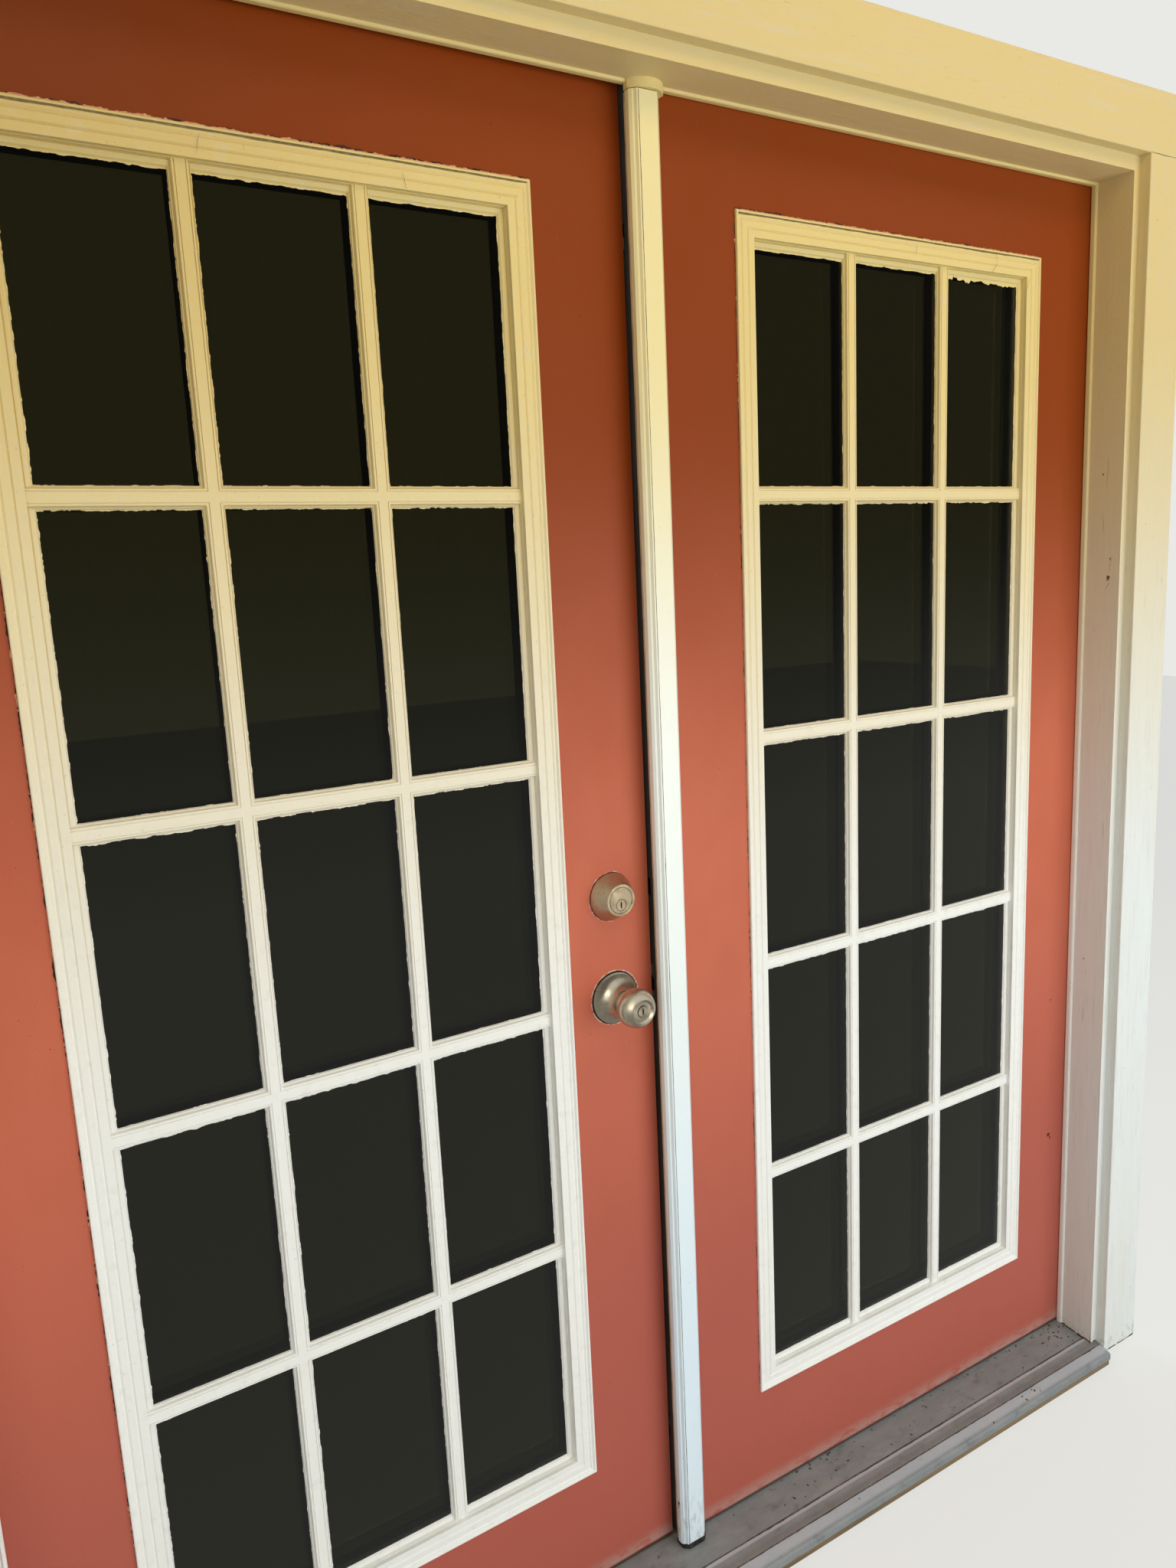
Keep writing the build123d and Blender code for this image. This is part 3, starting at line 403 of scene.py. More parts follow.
def brushedEnamelOnPine(name, run, grain, dirty):
    # run is the axis that the board lies along, and grain how much of it telegraphs
    look = trimPaint

    def size(across, lengthwise):
        return [lengthwise if axis == run else across for axis in range(3)]

    material, tree, shader, place = newFinish(name, {"Specular IOR Level": look["gloss"]})
    layers = [
        ("warmTintAndLight", mottle(tree, place, size(70, 400), 0.35, 0.75), 0.12),
        # painted warm light: yellower towards the top
        ("warmTintAndLight", along(tree, place, 2, look["warmLightUp"])),
        ("shade", mottle(tree, place, size(4, 90), 0.50, 0.72), 0.35),
        ("crack", mottle(tree, place, size(1.6, 55), 0.715, 0.74, detail=3.0), 0.5 * grain),
        ("dirt", mottle(tree, place, 3.5, 0.75, 0.77, detail=2.0), 0.8),
    ]
    if dirty:
        ragged = mottle(tree, place, (7, 7, 9), 0.50, 0.66, detail=6.0)
        layers.append(("dirt", along(tree, place, 2, look["dirtUp"]), ragged, 0.7))
    grainSize = size(look["grainAcross"], look["grainAlong"])
    brushSize = size(look["brushAcross"], look["brushAlong"])
    dress(
        tree, shader, coats(tree, look["body"], look, layers),
        mottle(tree, place, size(20, 90), 0.3, 0.7, look["roughness"]),
        (mottle(tree, place, grainSize, 0.2, 0.8), look["grainHeight"] * grain),
        (mottle(tree, place, brushSize, 0.2, 0.8), look["brushHeight"]),
        (mottle(tree, place, look["dimple"], 0.68, 0.74, (1.0, 0.0), detail=1.0), look["dimpleHeight"]),
    )
    return material


# Lite frame paint: the same enamel on moulded plastic, smoother, with dirt caught in its lines
# the warm colour here is painted warm light, yellower towards the top
framePaint = {
    # the corner colour is painted shade for the top-left corner of the doorway
    "body": "#f2f1ec", "warmTintAndLight": "#e0c986", "corner": "#c4a765", "shade": "#cfc9ba", "dirt": "#84775f",
    "gloss": 0.4, "roughness": (0.36, 0.50),
    "warmLightUp": (0.8, 1.8), "shadedCornerAcross": (-0.1, -0.75), "shadedCornerUp": (1.4, 1.95),
    "lump": (7, 7, 26), "lumpHeight": 0.10, "skin": 1.8, "skinHeight": 0.03,
}


def enamelOnMouldedPlastic(name, outdoorsWithPaintedLight):
    look = framePaint
    # outside: full painted warm light and corner shade; inside: a little of both
    share = 1.0 if outdoorsWithPaintedLight else 0.15
    material, tree, shader, place = newFinish(name, {"Specular IOR Level": look["gloss"]})
    # painted shade towards the top-left corner of the doorway
    nearShadedCorner = along(tree, place, 0, look["shadedCornerAcross"])
    tone = coats(tree, look["body"], look, [
        # painted warm light: yellower towards the top
        ("warmTintAndLight", along(tree, place, 2, look["warmLightUp"]), share),
        # painted shade in the top-left corner
        ("corner", nearShadedCorner, along(tree, place, 2, look["shadedCornerUp"]), 0.7 * share),
        ("shade", mottle(tree, place, 14, 0.52, 0.74), 0.2),
        ("dirt", mottle(tree, place, (5, 2.5, 5), 0.68, 0.72, detail=3.0), 0.25),
        ("dirt", mottle(tree, place, 3, 0.755, 0.775, detail=2.0), 0.8),
    ])
    dress(
        tree, shader, tone,
        mottle(tree, place, (25, 25, 60), 0.3, 0.7, look["roughness"]),
        (mottle(tree, place, look["lump"], 0.2, 0.8), look["lumpHeight"]),
        (mottle(tree, place, look["skin"], 0.2, 0.8, detail=2.0), look["skinHeight"]),
    )
    return material


# Astragal cover: extruded aluminium in baked white, smooth and a little chalky
# the cream colour is painted warm light at the top, and the cool colour painted cool light at the foot
coverPaint = {
    "body": "#f6faf4", "cream": "#ecdca2", "paintedCoolFoot": "#dceefb", "grime": "#a39a8a", "chip": "#6b5f52",
    "gloss": 0.45, "roughness": (0.34, 0.48),
    "paintedWarmTopUp": (1.15, 1.75), "paintedCoolFootUp": (1.25, 0.3), "grimeUp": (0.16, 0.05),
    "skin": (5, 5, 60), "skinHeight": 0.02,
}


def bakedWhiteOnAluminium():
    look = coverPaint
    material, tree, shader, place = newFinish("bakedWhiteOnAluminium", {"Specular IOR Level": look["gloss"]})
    ragged = mottle(tree, place, (6, 6, 20), 0.45, 0.7)
    tone = coats(tree, look["body"], look, [
        # painted warm light towards the top
        ("cream", along(tree, place, 2, look["paintedWarmTopUp"])),
        # painted cool light towards the foot
        ("paintedCoolFoot", along(tree, place, 2, look["paintedCoolFootUp"]), 0.8),
        ("grime", mottle(tree, place, (4, 8, 90), 0.60, 0.85), 0.16),
        ("grime", along(tree, place, 2, look["grimeUp"]), ragged, 0.6),
        ("chip", mottle(tree, place, (3, 3, 5), 0.735, 0.75, detail=3.0), 0.85),
    ])
    dress(
        tree, shader, tone,
        mottle(tree, place, (15, 15, 80), 0.3, 0.7, look["roughness"]),
        (mottle(tree, place, look["skin"], 0.2, 0.8), look["skinHeight"]),
    )
    return material


# Panes: tinted float glass, the inner pane near black as painted shade of the unlit room behind, so that the
# doors look into shade, with dust and wiping marks
paneLook = {
    # the inner tint is painted shade of the room behind the door
    "outer": "#c6c9ba", "inner": "#2d2a17", "ior": 1.5, "gloss": 0.32,
    "wiped": (35, 35, 160), "roughness": (0.015, 0.09),
}


def darkFloatGlass(name, tint):
    look = paneLook
    material, tree, shader, place = newFinish(name, {
        "Base Color": colour(tint), "Transmission Weight": 1.0,
        "IOR": look["ior"], "Specular IOR Level": look["gloss"],
    })
    wiped = mottle(tree, place, look["wiped"], 0.55, 0.85, look["roughness"])
    tree.links.new(wiped, shader.inputs["Roughness"])
    return material


# Satin nickel: turned, brushed and lacquered, warm grey with rings left by the wheel
nickelLook = {
    "knob": "#cbc3b0", "deadbolt": "#bfb197", "worn": "#a39478", "pit": "#57493a",
    "metallic": 0.9, "brushed": 0.6, "roughness": (0.26, 0.39),
    "ring": 0.5, "ringHeight": 0.012, "pitSize": 1.6, "pitHeight": -0.05,
}


def turnedSatinNickel(name, lock):
    look = nickelLook
    material, tree, shader, place = newFinish(name, {
        "Metallic": look["metallic"], "Anisotropic": look["brushed"],
    })
    parts = addNode(tree, "ShaderNodeSeparateXYZ", None, {0: place})
    turned = addNode(tree, "ShaderNodeCombineXYZ", None, {
        0: fromAxis(tree, place, lockCentres[lock]), 1: parts.outputs[1],
    })
    rings = mottle(tree, turned.outputs[0], look["ring"], 0.25, 0.75, detail=2.0)
    pits = mottle(tree, place, look["pitSize"], 0.70, 0.74, detail=2.0)
    metal = coats(tree, look[lock], look, [
        ("worn", mottle(tree, place, 9, 0.45, 0.75), 0.35),
        ("worn", rings, 0.18),
        ("pit", pits, 0.55),
    ])
    dress(
        tree, shader, metal,
        mottle(tree, place, 12, 0.3, 0.7, look["roughness"]),
        (rings, look["ringHeight"]), (pits, look["pitHeight"]),
    )
    roundAxis = addNode(tree, "ShaderNodeTangent", {"direction_type": "RADIAL", "axis": "Y"})
    tree.links.new(roundAxis.outputs[0], shader.inputs["Tangent"])
    return material


# Threshold: extruded aluminium, foot-worn and with a painted highlight on its ridges, with dust and grit in
# its grooves
sillLook = {
    # the worn colour is foot wear and a painted highlight
    "body": "#8b9092", "worn": "#c9ced5", "dirt": "#5c5a59", "dust": "#9da09f", "speck": "#d3cec8",
    "rust": "#6d5a52", "metallic": 0.15, "gloss": 0.4, "roughness": (0.42, 0.70),
    # strips along the sill, each by the two short reaches of y over which its edges come in
    "rustStrip": ((0.006, -0.004), (-0.0088, -0.0080)),
    "wornLitStepEdge": ((0.007, 0.011), (0.0160, 0.0150)),
    "wornLitFrontLip": ((-0.0092, -0.0102), (-0.029, -0.021)),
    "drawn": (120, 1.2, 1.2), "drawnHeight": 0.06, "grit": 2.5, "gritHeight": 0.25,
}


def weatheredAluminium():
    look = sillLook
    material, tree, shader, place = newFinish("weatheredAluminium", {
        "Metallic": look["metallic"], "Specular IOR Level": look["gloss"],
    })

    def strip(name):
        return [along(tree, place, 1, edge) for edge in look[name]]

    tone = coats(tree, look["body"], look, [
        ("dust", mottle(tree, place, (70, 30, 30), 0.38, 0.70), 0.7),
        ("dirt", mottle(tree, place, (26, 16, 16), 0.50, 0.80, detail=7.0), 0.55),
        ("rust", *strip("rustStrip"), 0.55),
        # foot wear and a painted highlight along the step edge and the front lip
        ("worn", *strip("wornLitStepEdge"), 0.85),
        ("worn", *strip("wornLitFrontLip"), 0.62),
        ("speck", mottle(tree, place, 3.2, 0.72, 0.74, detail=2.0), 0.7),
        ("dirt", mottle(tree, place, 4.5, 0.70, 0.72, detail=3.0), 0.8),
    ])
    dress(
        tree, shader, tone,
        mottle(tree, place, (40, 8, 8), 0.3, 0.7, look["roughness"]),
        (mottle(tree, place, look["drawn"], 0.2, 0.8), look["drawnHeight"]),
        (mottle(tree, place, look["grit"], 0.66, 0.74, detail=3.0), look["gritHeight"]),
    )
    return material


# Plainer finishes, each named for what it is made of and how: its two tones, the size of its
# patches, its roughness, the height of its fine skin, and how metallic it is
plainFinishes = {
    "sill_wood": ("roughSawnPine", "#8a7558", "#5f4e3a", (160, 5, 5), (0.7, 0.9), 0.15, 0.0),
    "cap_composite": ("brownComposite", "#7b6a57", "#5b4c3d", (120, 4, 4), (0.5, 0.7), 0.08, 0.0),
    "hinge_steel": ("brushedSteelHinge", "#b3ab9c", "#7d7365", (3, 3, 30), (0.28, 0.45), 0.02, 1.0),
    "edge_wood": ("paintedEdgeWood", "#a95740", "#7f4431", (8, 3, 140), (0.5, 0.7), 0.12, 0.0),
    "foam": ("rigidFoam", "#e3d8a8", "#c9ba80", (3, 3, 3), (0.85, 0.95), 0.2, 0.0),
    "lock_wood": ("rawPine", "#b8935f", "#94703f", (5, 5, 90), (0.65, 0.8), 0.12, 0.0),
    "spacer_metal": ("rolledSpacerMetal", "#a3a4a2", "#77797a", (4, 4, 40), (0.35, 0.5), 0.02, 1.0),
    "sweep_vinyl": ("blackVinylSweep", "#232221", "#4b4540", (30, 5, 5), (0.55, 0.8), 0.08, 0.0),
    "bolt_steel": ("zincPlatedSteel", "#b5b1a6", "#7f796e", (6, 6, 14), (0.25, 0.42), 0.02, 1.0),
    "astragal_bronze": (
        "bronzeAnodisedAluminium", "#564e47", "#3a332c", (5, 5, 90), (0.35, 0.55), 0.03, 0.4,
    ),
    "cream_vinyl": ("agedCreamVinyl", "#cdbd97", "#7c6a4b", (6, 5, 26), (0.5, 0.75), 0.12, 0.0),
    "guide_plastic": ("blackNylonGuide", "#2a2a2a", "#454441", (10, 10, 10), (0.5, 0.7), 0.03, 0.0),
    "black_rubber": ("blackRubber", "#161616", "#4d463e", (12, 8, 8), (0.65, 0.9), 0.1, 0.0),
}


def twoToneFinish(name, body, second, sizes, roughness, height, metallic):
    material, tree, shader, place = newFinish(name, {"Metallic": metallic})
    tone = coat(tree, body, second, mottle(tree, place, sizes, 0.42, 0.72), 0.7)
    tone = coat(tree, tone, second, mottle(tree, place, 3, 0.72, 0.75, detail=2.0), 0.9)
    skin = mottle(tree, place, [size / 2 for size in sizes], 0.2, 0.8)
    dress(tree, shader, tone, mottle(tree, place, 20, 0.3, 0.7, roughness), (skin, height))
    return material


finishes = {slot: twoToneFinish(*look) for slot, look in plainFinishes.items()}
finishes["terracotta_steel"] = rolledLatexOnSteel("rolledLatexOnSteel", True)
finishes["lite_frame_plastic"] = enamelOnMouldedPlastic("enamelOnMouldedPlastic", True)
finishes["head_block_plastic"] = enamelOnMouldedPlastic("enamelOnHeadBlock", True)
finishes["astragal_white"] = bakedWhiteOnAluminium()
finishes["threshold_aluminium"] = weatheredAluminium()
finishes["white_vinyl_strip"] = enamelOnMouldedPlastic("paintedVinylStrip", True)
finishes["pane_glass"] = darkFloatGlass("tintedOuterGlass", paneLook["outer"])
knobNickel = turnedSatinNickel("turnedNickelOfKnob", "knob")
boltNickel = turnedSatinNickel("turnedNickelOfDeadbolt", "deadbolt")
sideJamb = brushedEnamelOnPine("enamelOnJambSides", 2, 0.7, True)
headJamb = brushedEnamelOnPine("enamelOnJambHead", 0, 0.7, False)
sideCasing = brushedEnamelOnPine("enamelOnCasingSides", 2, 1.0, True)
headCasing = brushedEnamelOnPine("enamelOnCasingHead", 0, 1.0, False)
indoorLatex = rolledLatexOnSteel("indoorLatexOnSteel", False)
indoorFrame = enamelOnMouldedPlastic("indoorFrameEnamel", False)
innerPaneAsShade = darkFloatGlass("innerGlassPaintedShade", paneLook["inner"])
byNode = {
    "left_jamb": sideJamb, "right_jamb": sideJamb, "head_jamb": headJamb,
    "left_casing": sideCasing, "right_casing": sideCasing, "head_casing": headCasing,
    "active_inner_skin": indoorLatex, "passive_inner_skin": indoorLatex,
    "active_inner_lite_frame": indoorFrame, "passive_inner_lite_frame": indoorFrame,
    "active_inner_pane": innerPaneAsShade, "passive_inner_pane": innerPaneAsShade,
    "outer_rose": knobNickel, "inner_rose": knobNickel, "outer_knob": knobNickel, "inner_knob": knobNickel,
    "knob_key_plug": knobNickel,
    "deadbolt_collar": boltNickel, "deadbolt_inner_rose": boltNickel, "deadbolt_key_plug": boltNickel,
    "thumb_turn": boltNickel,
}
for subpart in frame["record"]["subparts"]:
    node = frame["nodes"][subpart["node"]]
    node.data.materials.clear()
    node.data.materials.append(byNode.get(subpart["node"]) or finishes[subpart["material_slot"]])
print("finishes ready")


# The left leaf stands a little ajar, so its pieces are made on the right leaf and carried over
ajar = {"degrees": 0.874, "hinge": (-0.8737, 0.122)}
leafBodies = {"left": "active_leaf", "right": "passive_leaf"}

# The ways that marks face or grow
toFront, toTop, toFoot = (0, -1, 0), (0, 0, 1), (0, 0, -1)
toRight, toLeft = (1, 0, 0), (-1, 0, 0)


def swungAjar(points):
    # from where the shut left leaf would have them to its real place
    hinge = Vector((*ajar["hinge"], 0))
    turn = Matrix.Rotation(math.radians(ajar["degrees"]), 3, "Z")
    return [turn @ (Vector(p) - hinge) + hinge for p in points]


def toLeftLeaf(points):
    return swungAjar([(-p[0], p[1], p[2]) for p in points])


def leafPiece(name, verts, faces, material, side):
    if side == "left":
        verts = toLeftLeaf(verts)
        faces = [face[::-1] for face in faces]
    addPiece(name, newMesh(name, verts, faces, material), leafBodies[side])


def turnedTo(out, verts, face):
    # the face with its corners in the order that makes it look that way
    a, b, c = (verts[k] for k in face[:3])
    return face[::-1] if (b - a).cross(c - b).dot(out) < 0 else face


# Beads of dried paint or dirt, in millimetres: the fine part of their wander, and their section
beadShape = {"fineShare": 0.8, "fineness": 5, "crest": 0.55, "edgeHeight": 0.04}


def addBead(verts, faces, start, end, side, out, look, seed):
    # its free edge wanders, and it breaks off where it is thinner than least
    start, end, side, out = (Vector(v) for v in (start, end, side, out))
    count = max(2, round((end - start).length / look["step"]))
    last = None
    for number in range(count + 1):
        at = start.lerp(end, number / count)
        spot = at / look["patch"]
        coarse = noise.noise(spot + Vector((seed, 0, 0)))
        fine = noise.noise(spot * beadShape["fineness"] + Vector((0, seed, 0)))
        width = look["width"] + look["wander"] * (coarse + beadShape["fineShare"] * fine)
        if width < look["least"]:
            last = None
            continue
        row = len(verts)
        verts.append((at - side * look["under"]) * mm)
        verts.append((at + side * width * beadShape["crest"] + out * look["rise"]) * mm)
        verts.append((at + side * width + out * beadShape["edgeHeight"]) * mm)
        if last is not None:
            for step in (0, 1):
                face = [last + step, row + step, row + step + 1, last + step + 1]
                faces.append(turnedTo(out, verts, face))
        last = row


# Dried paint, dirt and painted shade: thin skins of trim paint, dark grime, pale flakes of old paint, and
# dark skins for shade in coves and grooves
def driedSkin(name, body, second, roughness):
    return twoToneFinish(name, body, second, (6, 6, 6), roughness, 0.1, 0.0)


paintSkin = enamelOnMouldedPlastic("driedTrimPaint", True)
darkGrime = driedSkin("darkGrime", "#35241a", "#5c452f", (0.7, 0.9))
crackedEdge = driedSkin("crackedLeafPaint", "#35150a", "#5c2c12", (0.6, 0.85))
paleFlakes = driedSkin("flakedPrimer", "#d9a57e", "#a8714f", (0.6, 0.8))
# painted shade for the grooves of the sill and the astragal cover
greyGrooveShade = driedSkin("greyGrooveShade", "#4a453e", "#8b8377", (0.8, 0.95))
# painted shade for the cove of the lite frames
oliveCoveShade = driedSkin("oliveCoveShade", "#77633a", "#9a8450", (0.6, 0.8))

# Lites: where the outer pane shows, across and up the right leaf in millimetres, and the width
# and wander of the paint on each edge, which is widest in the corner lite
lites = {
    "across": ((184.7, 339.5), (362.9, 523.5), (546.9, 701.7)),
    "up": ((253.0, 553.2), (576.6, 882.6), (906.0, 1212.0), (1235.4, 1541.4), (1564.8, 1865.0)),
    "pane": 82.0, "lift": 0.02,
    "topRow": 4, "worstColumn": 2, "topRowShare": 1.4, "otherShare": 0.7,
    "seedStep": 3.7,
}
glassBead = {"step": 1.6, "patch": 14.0, "least": 0.25, "under": 2.0, "rise": 0.3}
glassEdges = {"top": (1.1, 1.3), "foot": (0.15, 0.6), "sides": (0.25, 0.8), "worst": (3.2, 3.6)}


def paneBeads(side, seed):
    # paint that ran past the lite frame and dried ragged on the glass
    verts, faces = [], []
    y = lites["pane"] - lites["lift"]
    for row, (low, high) in enumerate(lites["up"]):
        topRow = row == lites["topRow"]
        share = lites["topRowShare"] if topRow else lites["otherShare"]
        for column, (left, right) in enumerate(lites["across"]):
            worst = side == "right" and topRow and column == lites["worstColumn"]
            edges = (
                ("worst" if worst else "top", (left, y, high), (right, y, high), toFoot),
                ("foot", (left, y, low), (right, y, low), toTop),
                ("sides", (left, y, low), (left, y, high), toRight),
                ("sides", (right, y, low), (right, y, high), toLeft),
            )
            for kind, start, end, across in edges:
                width, wander = glassEdges[kind]
                look = {**glassBead, "width": width * share, "wander": wander}
                addBead(verts, faces, start, end, across, toFront, look, seed)
                seed += lites["seedStep"]
    leafPiece("paneBeads_" + side, verts, faces, paintSkin, side)


# Round each lite frame, in millimetres, the leaf paint has cracked away, most along its top
leafFace = 71.5
frameEdge = {
    "left": 145.7, "right": 740.7, "foot": 214.0, "top": 1904.0,
    "topShare": 2.2, "leftShare": 0.36, "rightShare": 0.32, "footShare": 0.28,
    "seedStep": 5.3,
}
crackLine = {"step": 1.8, "patch": 22, "width": 1.2, "wander": 2, "least": 0.35, "under": 0.6, "rise": 0.12}
flakeLine = {"step": 1.5, "patch": 14, "width": 0.95, "wander": 1.7, "least": 0.9, "under": 0.5, "rise": 0.9}


def frameEdges(side, seed):
    edge = frameEdge
    y = leafFace
    left, right, foot, top = (edge[k] for k in ("left", "right", "foot", "top"))
    edges = (
        ((left, y, top), (right, y, top), toTop, edge["topShare"]),
        ((left, y, foot), (left, y, top), toLeft, edge["leftShare"]),
        ((right, y, foot), (right, y, top), toRight, edge["rightShare"]),
        ((left, y, foot), (right, y, foot), toFoot, edge["footShare"]),
    )
    for name, base, material in (
        ("frameCracks_", crackLine, crackedEdge), ("frameFlakes_", flakeLine, paleFlakes),
    ):
        verts, faces = [], []
        for start, end, across, share in edges:
            look = {**base, "width": base["width"] * share}
            addBead(verts, faces, start, end, across, toFront, look, seed)
            seed += edge["seedStep"]
        leafPiece(name + side, verts, faces, material, side)


# Painted shade: a dark line in the cove just inside the top edge of each lite frame, and in the long grooves
cove = {"inset": 4, "drop": 2.8, "y": 67.55}
coveShadeLine = {"step": 4, "patch": 60, "width": 2.3, "wander": 0.7, "least": 0.4, "under": 0.0, "rise": 0.03}
sillGrooves = {"yz": ((16.6, 33.76), (-8.0, 29.62)), "end": 863}
sillGroove = {"step": 5, "patch": 50, "width": 2.2, "wander": 1.0, "least": 0.3, "under": 0.2, "rise": 0.02}
coverFlute = {"x": -11.55, "y": 49.46, "foot": 47, "top": 2010}
coverGroove = {"step": 6, "patch": 80, "width": 0.85, "wander": 0.3, "least": 0.2, "under": 0, "rise": 0.02}


def coveLines(side, seed):
    verts, faces = [], []
    y, top = cove["y"], frameEdge["top"] - cove["drop"]
    start = (frameEdge["left"] + cove["inset"], y, top)
    end = (frameEdge["right"] - cove["inset"], y, top)
    slope = math.sqrt(0.5)  # that face of the cove looks out and down at 45 degrees
    # a dark line of painted shade along the cove
    addBead(verts, faces, start, end, (0, slope, -slope), (0, -slope, -slope), coveShadeLine, seed)
    leafPiece("coveShadeLine_" + side, verts, faces, oliveCoveShade, side)


def grooveLines():
    # dark lines of painted shade along the sill's grooves and the cover's flute
    verts, faces = [], []
    reach = sillGrooves["end"]
    for y, z in sillGrooves["yz"]:
        addBead(verts, faces, (-reach, y, z), (reach, y, z), toFront, toTop, sillGroove, y)
    mesh = newMesh("sillGrooveShade", verts, faces, greyGrooveShade)
    addPiece("sillGrooveShade", mesh, "frame")
    verts, faces = [], []
    x, y, foot, top = (coverFlute[k] for k in ("x", "y", "foot", "top"))
    addBead(verts, faces, (x, y, foot), (x, y, top), toRight, toFront, coverGroove, 2.0)
    mesh = newMesh("coverGrooveShade", verts, faces, greyGrooveShade)
    addPiece("coverGrooveShade", mesh, "passive_leaf")


for side, seed in (("right", 11.0), ("left", 47.0)):
    paneBeads(side, seed)
    frameEdges(side, seed)
    coveLines(side, seed)
grooveLines()
print("dried paint round the lites ready")


# Hairline cracks: crooked lines in millimetres drawn just clear of a flat face, thin at their ends
hairline = {"step": 2.2, "wander": 0.9, "bends": 0.35, "endShare": 0.35, "lift": 0.05}
muntinFace = 67.4
jambFace = 863.7
casingFace = -18
liteCracks = {
    # x and z of both ends, and the width
    "right": [(628, 1871, 640, 1886, 0.5), (640, 1886, 637, 1902, 0.4),
              (468, 1880, 470, 1896, 0.4), (705, 1850, 715, 1872, 0.4)],
    "left": [(300, 1874, 304, 1890, 0.4), (520, 1878, 516, 1896, 0.35)],
}
casingCracks = [(877.6, 2045.3, 930, 2045.0, 0.9), (930, 2045.0, 966, 2045.4, 0.6)]
jambCracks = [
    # y and z of both ends, and the width
    (20, 1424, 14, 1452, 0.4), (24, 1396, 18, 1408, 0.5), (28, 1560, 26, 1606, 0.4),
    (30, 1486, 34, 1520, 0.4), (40, 640, 38, 668, 0.4), (12, 980, 13, 1010, 0.4),
]


def addHairline(verts, faces, start, end, width, out, seed):
    start, end, out = Vector(start), Vector(end), Vector(out)
    run = end - start
    across = run.cross(out).normalized()
    count = max(3, round(run.length / hairline["step"]))
    first = len(verts)
    for number in range(count + 1):
        at = start + run * (number / count)
        bend = noise.noise(at * hairline["bends"] + Vector((seed, seed, 0))) * hairline["wander"]
        middle = math.sin(math.pi * (number + 0.5) / (count + 1))
        half = width * (hairline["endShare"] + (1 - hairline["endShare"]) * middle) / 2
        for sign in (-1, 1):
            verts.append((at + across * (bend + sign * half) + out * hairline["lift"]) * mm)
    for number in range(count):
        k = first + 2 * number
        faces.append(turnedTo(out, verts, [k, k + 1, k + 3, k + 2]))


def leafCracks(side):
    verts, faces = [], []
    for number, (x0, z0, x1, z1, width) in enumerate(liteCracks[side]):
        start, end = (x0, muntinFace, z0), (x1, muntinFace, z1)
        addHairline(verts, faces, start, end, width, toFront, 3.1 * number + 1)
    leafPiece("liteCracks_" + side, verts, faces, darkGrime, side)


def trimCracks():
    verts, faces = [], []
    cracks = [((x0, casingFace, z0), (x1, casingFace, z1), w, toFront) for x0, z0, x1, z1, w in casingCracks]
    cracks += [((jambFace, y0, z0), (jambFace, y1, z1), w, toLeft) for y0, z0, y1, z1, w in jambCracks]
    for number, (start, end, width, out) in enumerate(cracks):
        addHairline(verts, faces, start, end, width, out, 2.3 * number)
        start, end, out = ((-v[0], v[1], v[2]) for v in (start, end, out))
        addHairline(verts, faces, start, end, width, out, 2.9 * number + 7)
    addPiece("trimCracks", newMesh("trimCracks", verts, faces, darkGrime), "frame")


leafCracks("right")
leafCracks("left")
trimCracks()

# Knots, knocks and small chips, each an uneven spot: place, half width and half height, way out
coverSide = -20.5
nailPlaces = ((899, 1952), (951, 1946), (901, 1498), (947, 1061), (903, 566), (949, 121))
knotBrown = driedSkin("knotThroughPaint", "#5a3a1c", "#94743f", (0.55, 0.75))
spotShape = {"corners": 11, "reach": 0.8, "uneven": 0.5, "crown": 0.07, "edge": 0.03}
spots = {
    "leafKnocks": ("passive_leaf", "terracotta_steel", crackedEdge, [
        ((822.2, leafFace, 427.3), (4.6, 4.0), toFront), ((826.5, leafFace, 420.6), (2.6, 2.8), toFront),
        ((817.9, leafFace, 685.2), (2.0, 1.7), toFront), ((96.0, leafFace, 365.0), (0.9, 0.8), toFront),
        ((787.0, leafFace, 1240.0), (0.8, 1.0), toFront),
    ]),
    "coverNick": ("passive_leaf", "astragal_white", darkGrime, [
        ((coverSide, 60.4, 111.3), (2.4, 4.2), toLeft), ((coverSide, 61.6, 104.0), (1.2, 3.6), toLeft),
    ]),
    "jambKnots": ("frame", "painted_jamb", knotBrown, [
        ((jambFace, 20.3, 1414.8), (3.4, 5.2), toLeft), ((jambFace, 35.0, 1579.5), (1.6, 2.2), toLeft),
        ((jambFace, 17.5, 1445.3), (1.3, 2.6), toLeft), ((jambFace, 41.0, 760.0), (1.2, 1.8), toLeft),
        ((-jambFace, 28.0, 1218.0), (2.6, 4.0), toRight), ((-jambFace, 44.0, 540.0), (1.3, 2.0), toRight),
    ]),
    "nailSpots": ("frame", "painted_casing", knotBrown, [
        ((sign * x, casingFace, z), (0.9, 1.0), toFront) for sign in (-1, 1) for x, z in nailPlaces
    ]),
}


def fan(first, sides):
    # triangles round a middle point, which comes just before the points of its rim
    return [(first, first + 1 + k, first + 1 + (k + 1) % sides) for k in range(sides)]


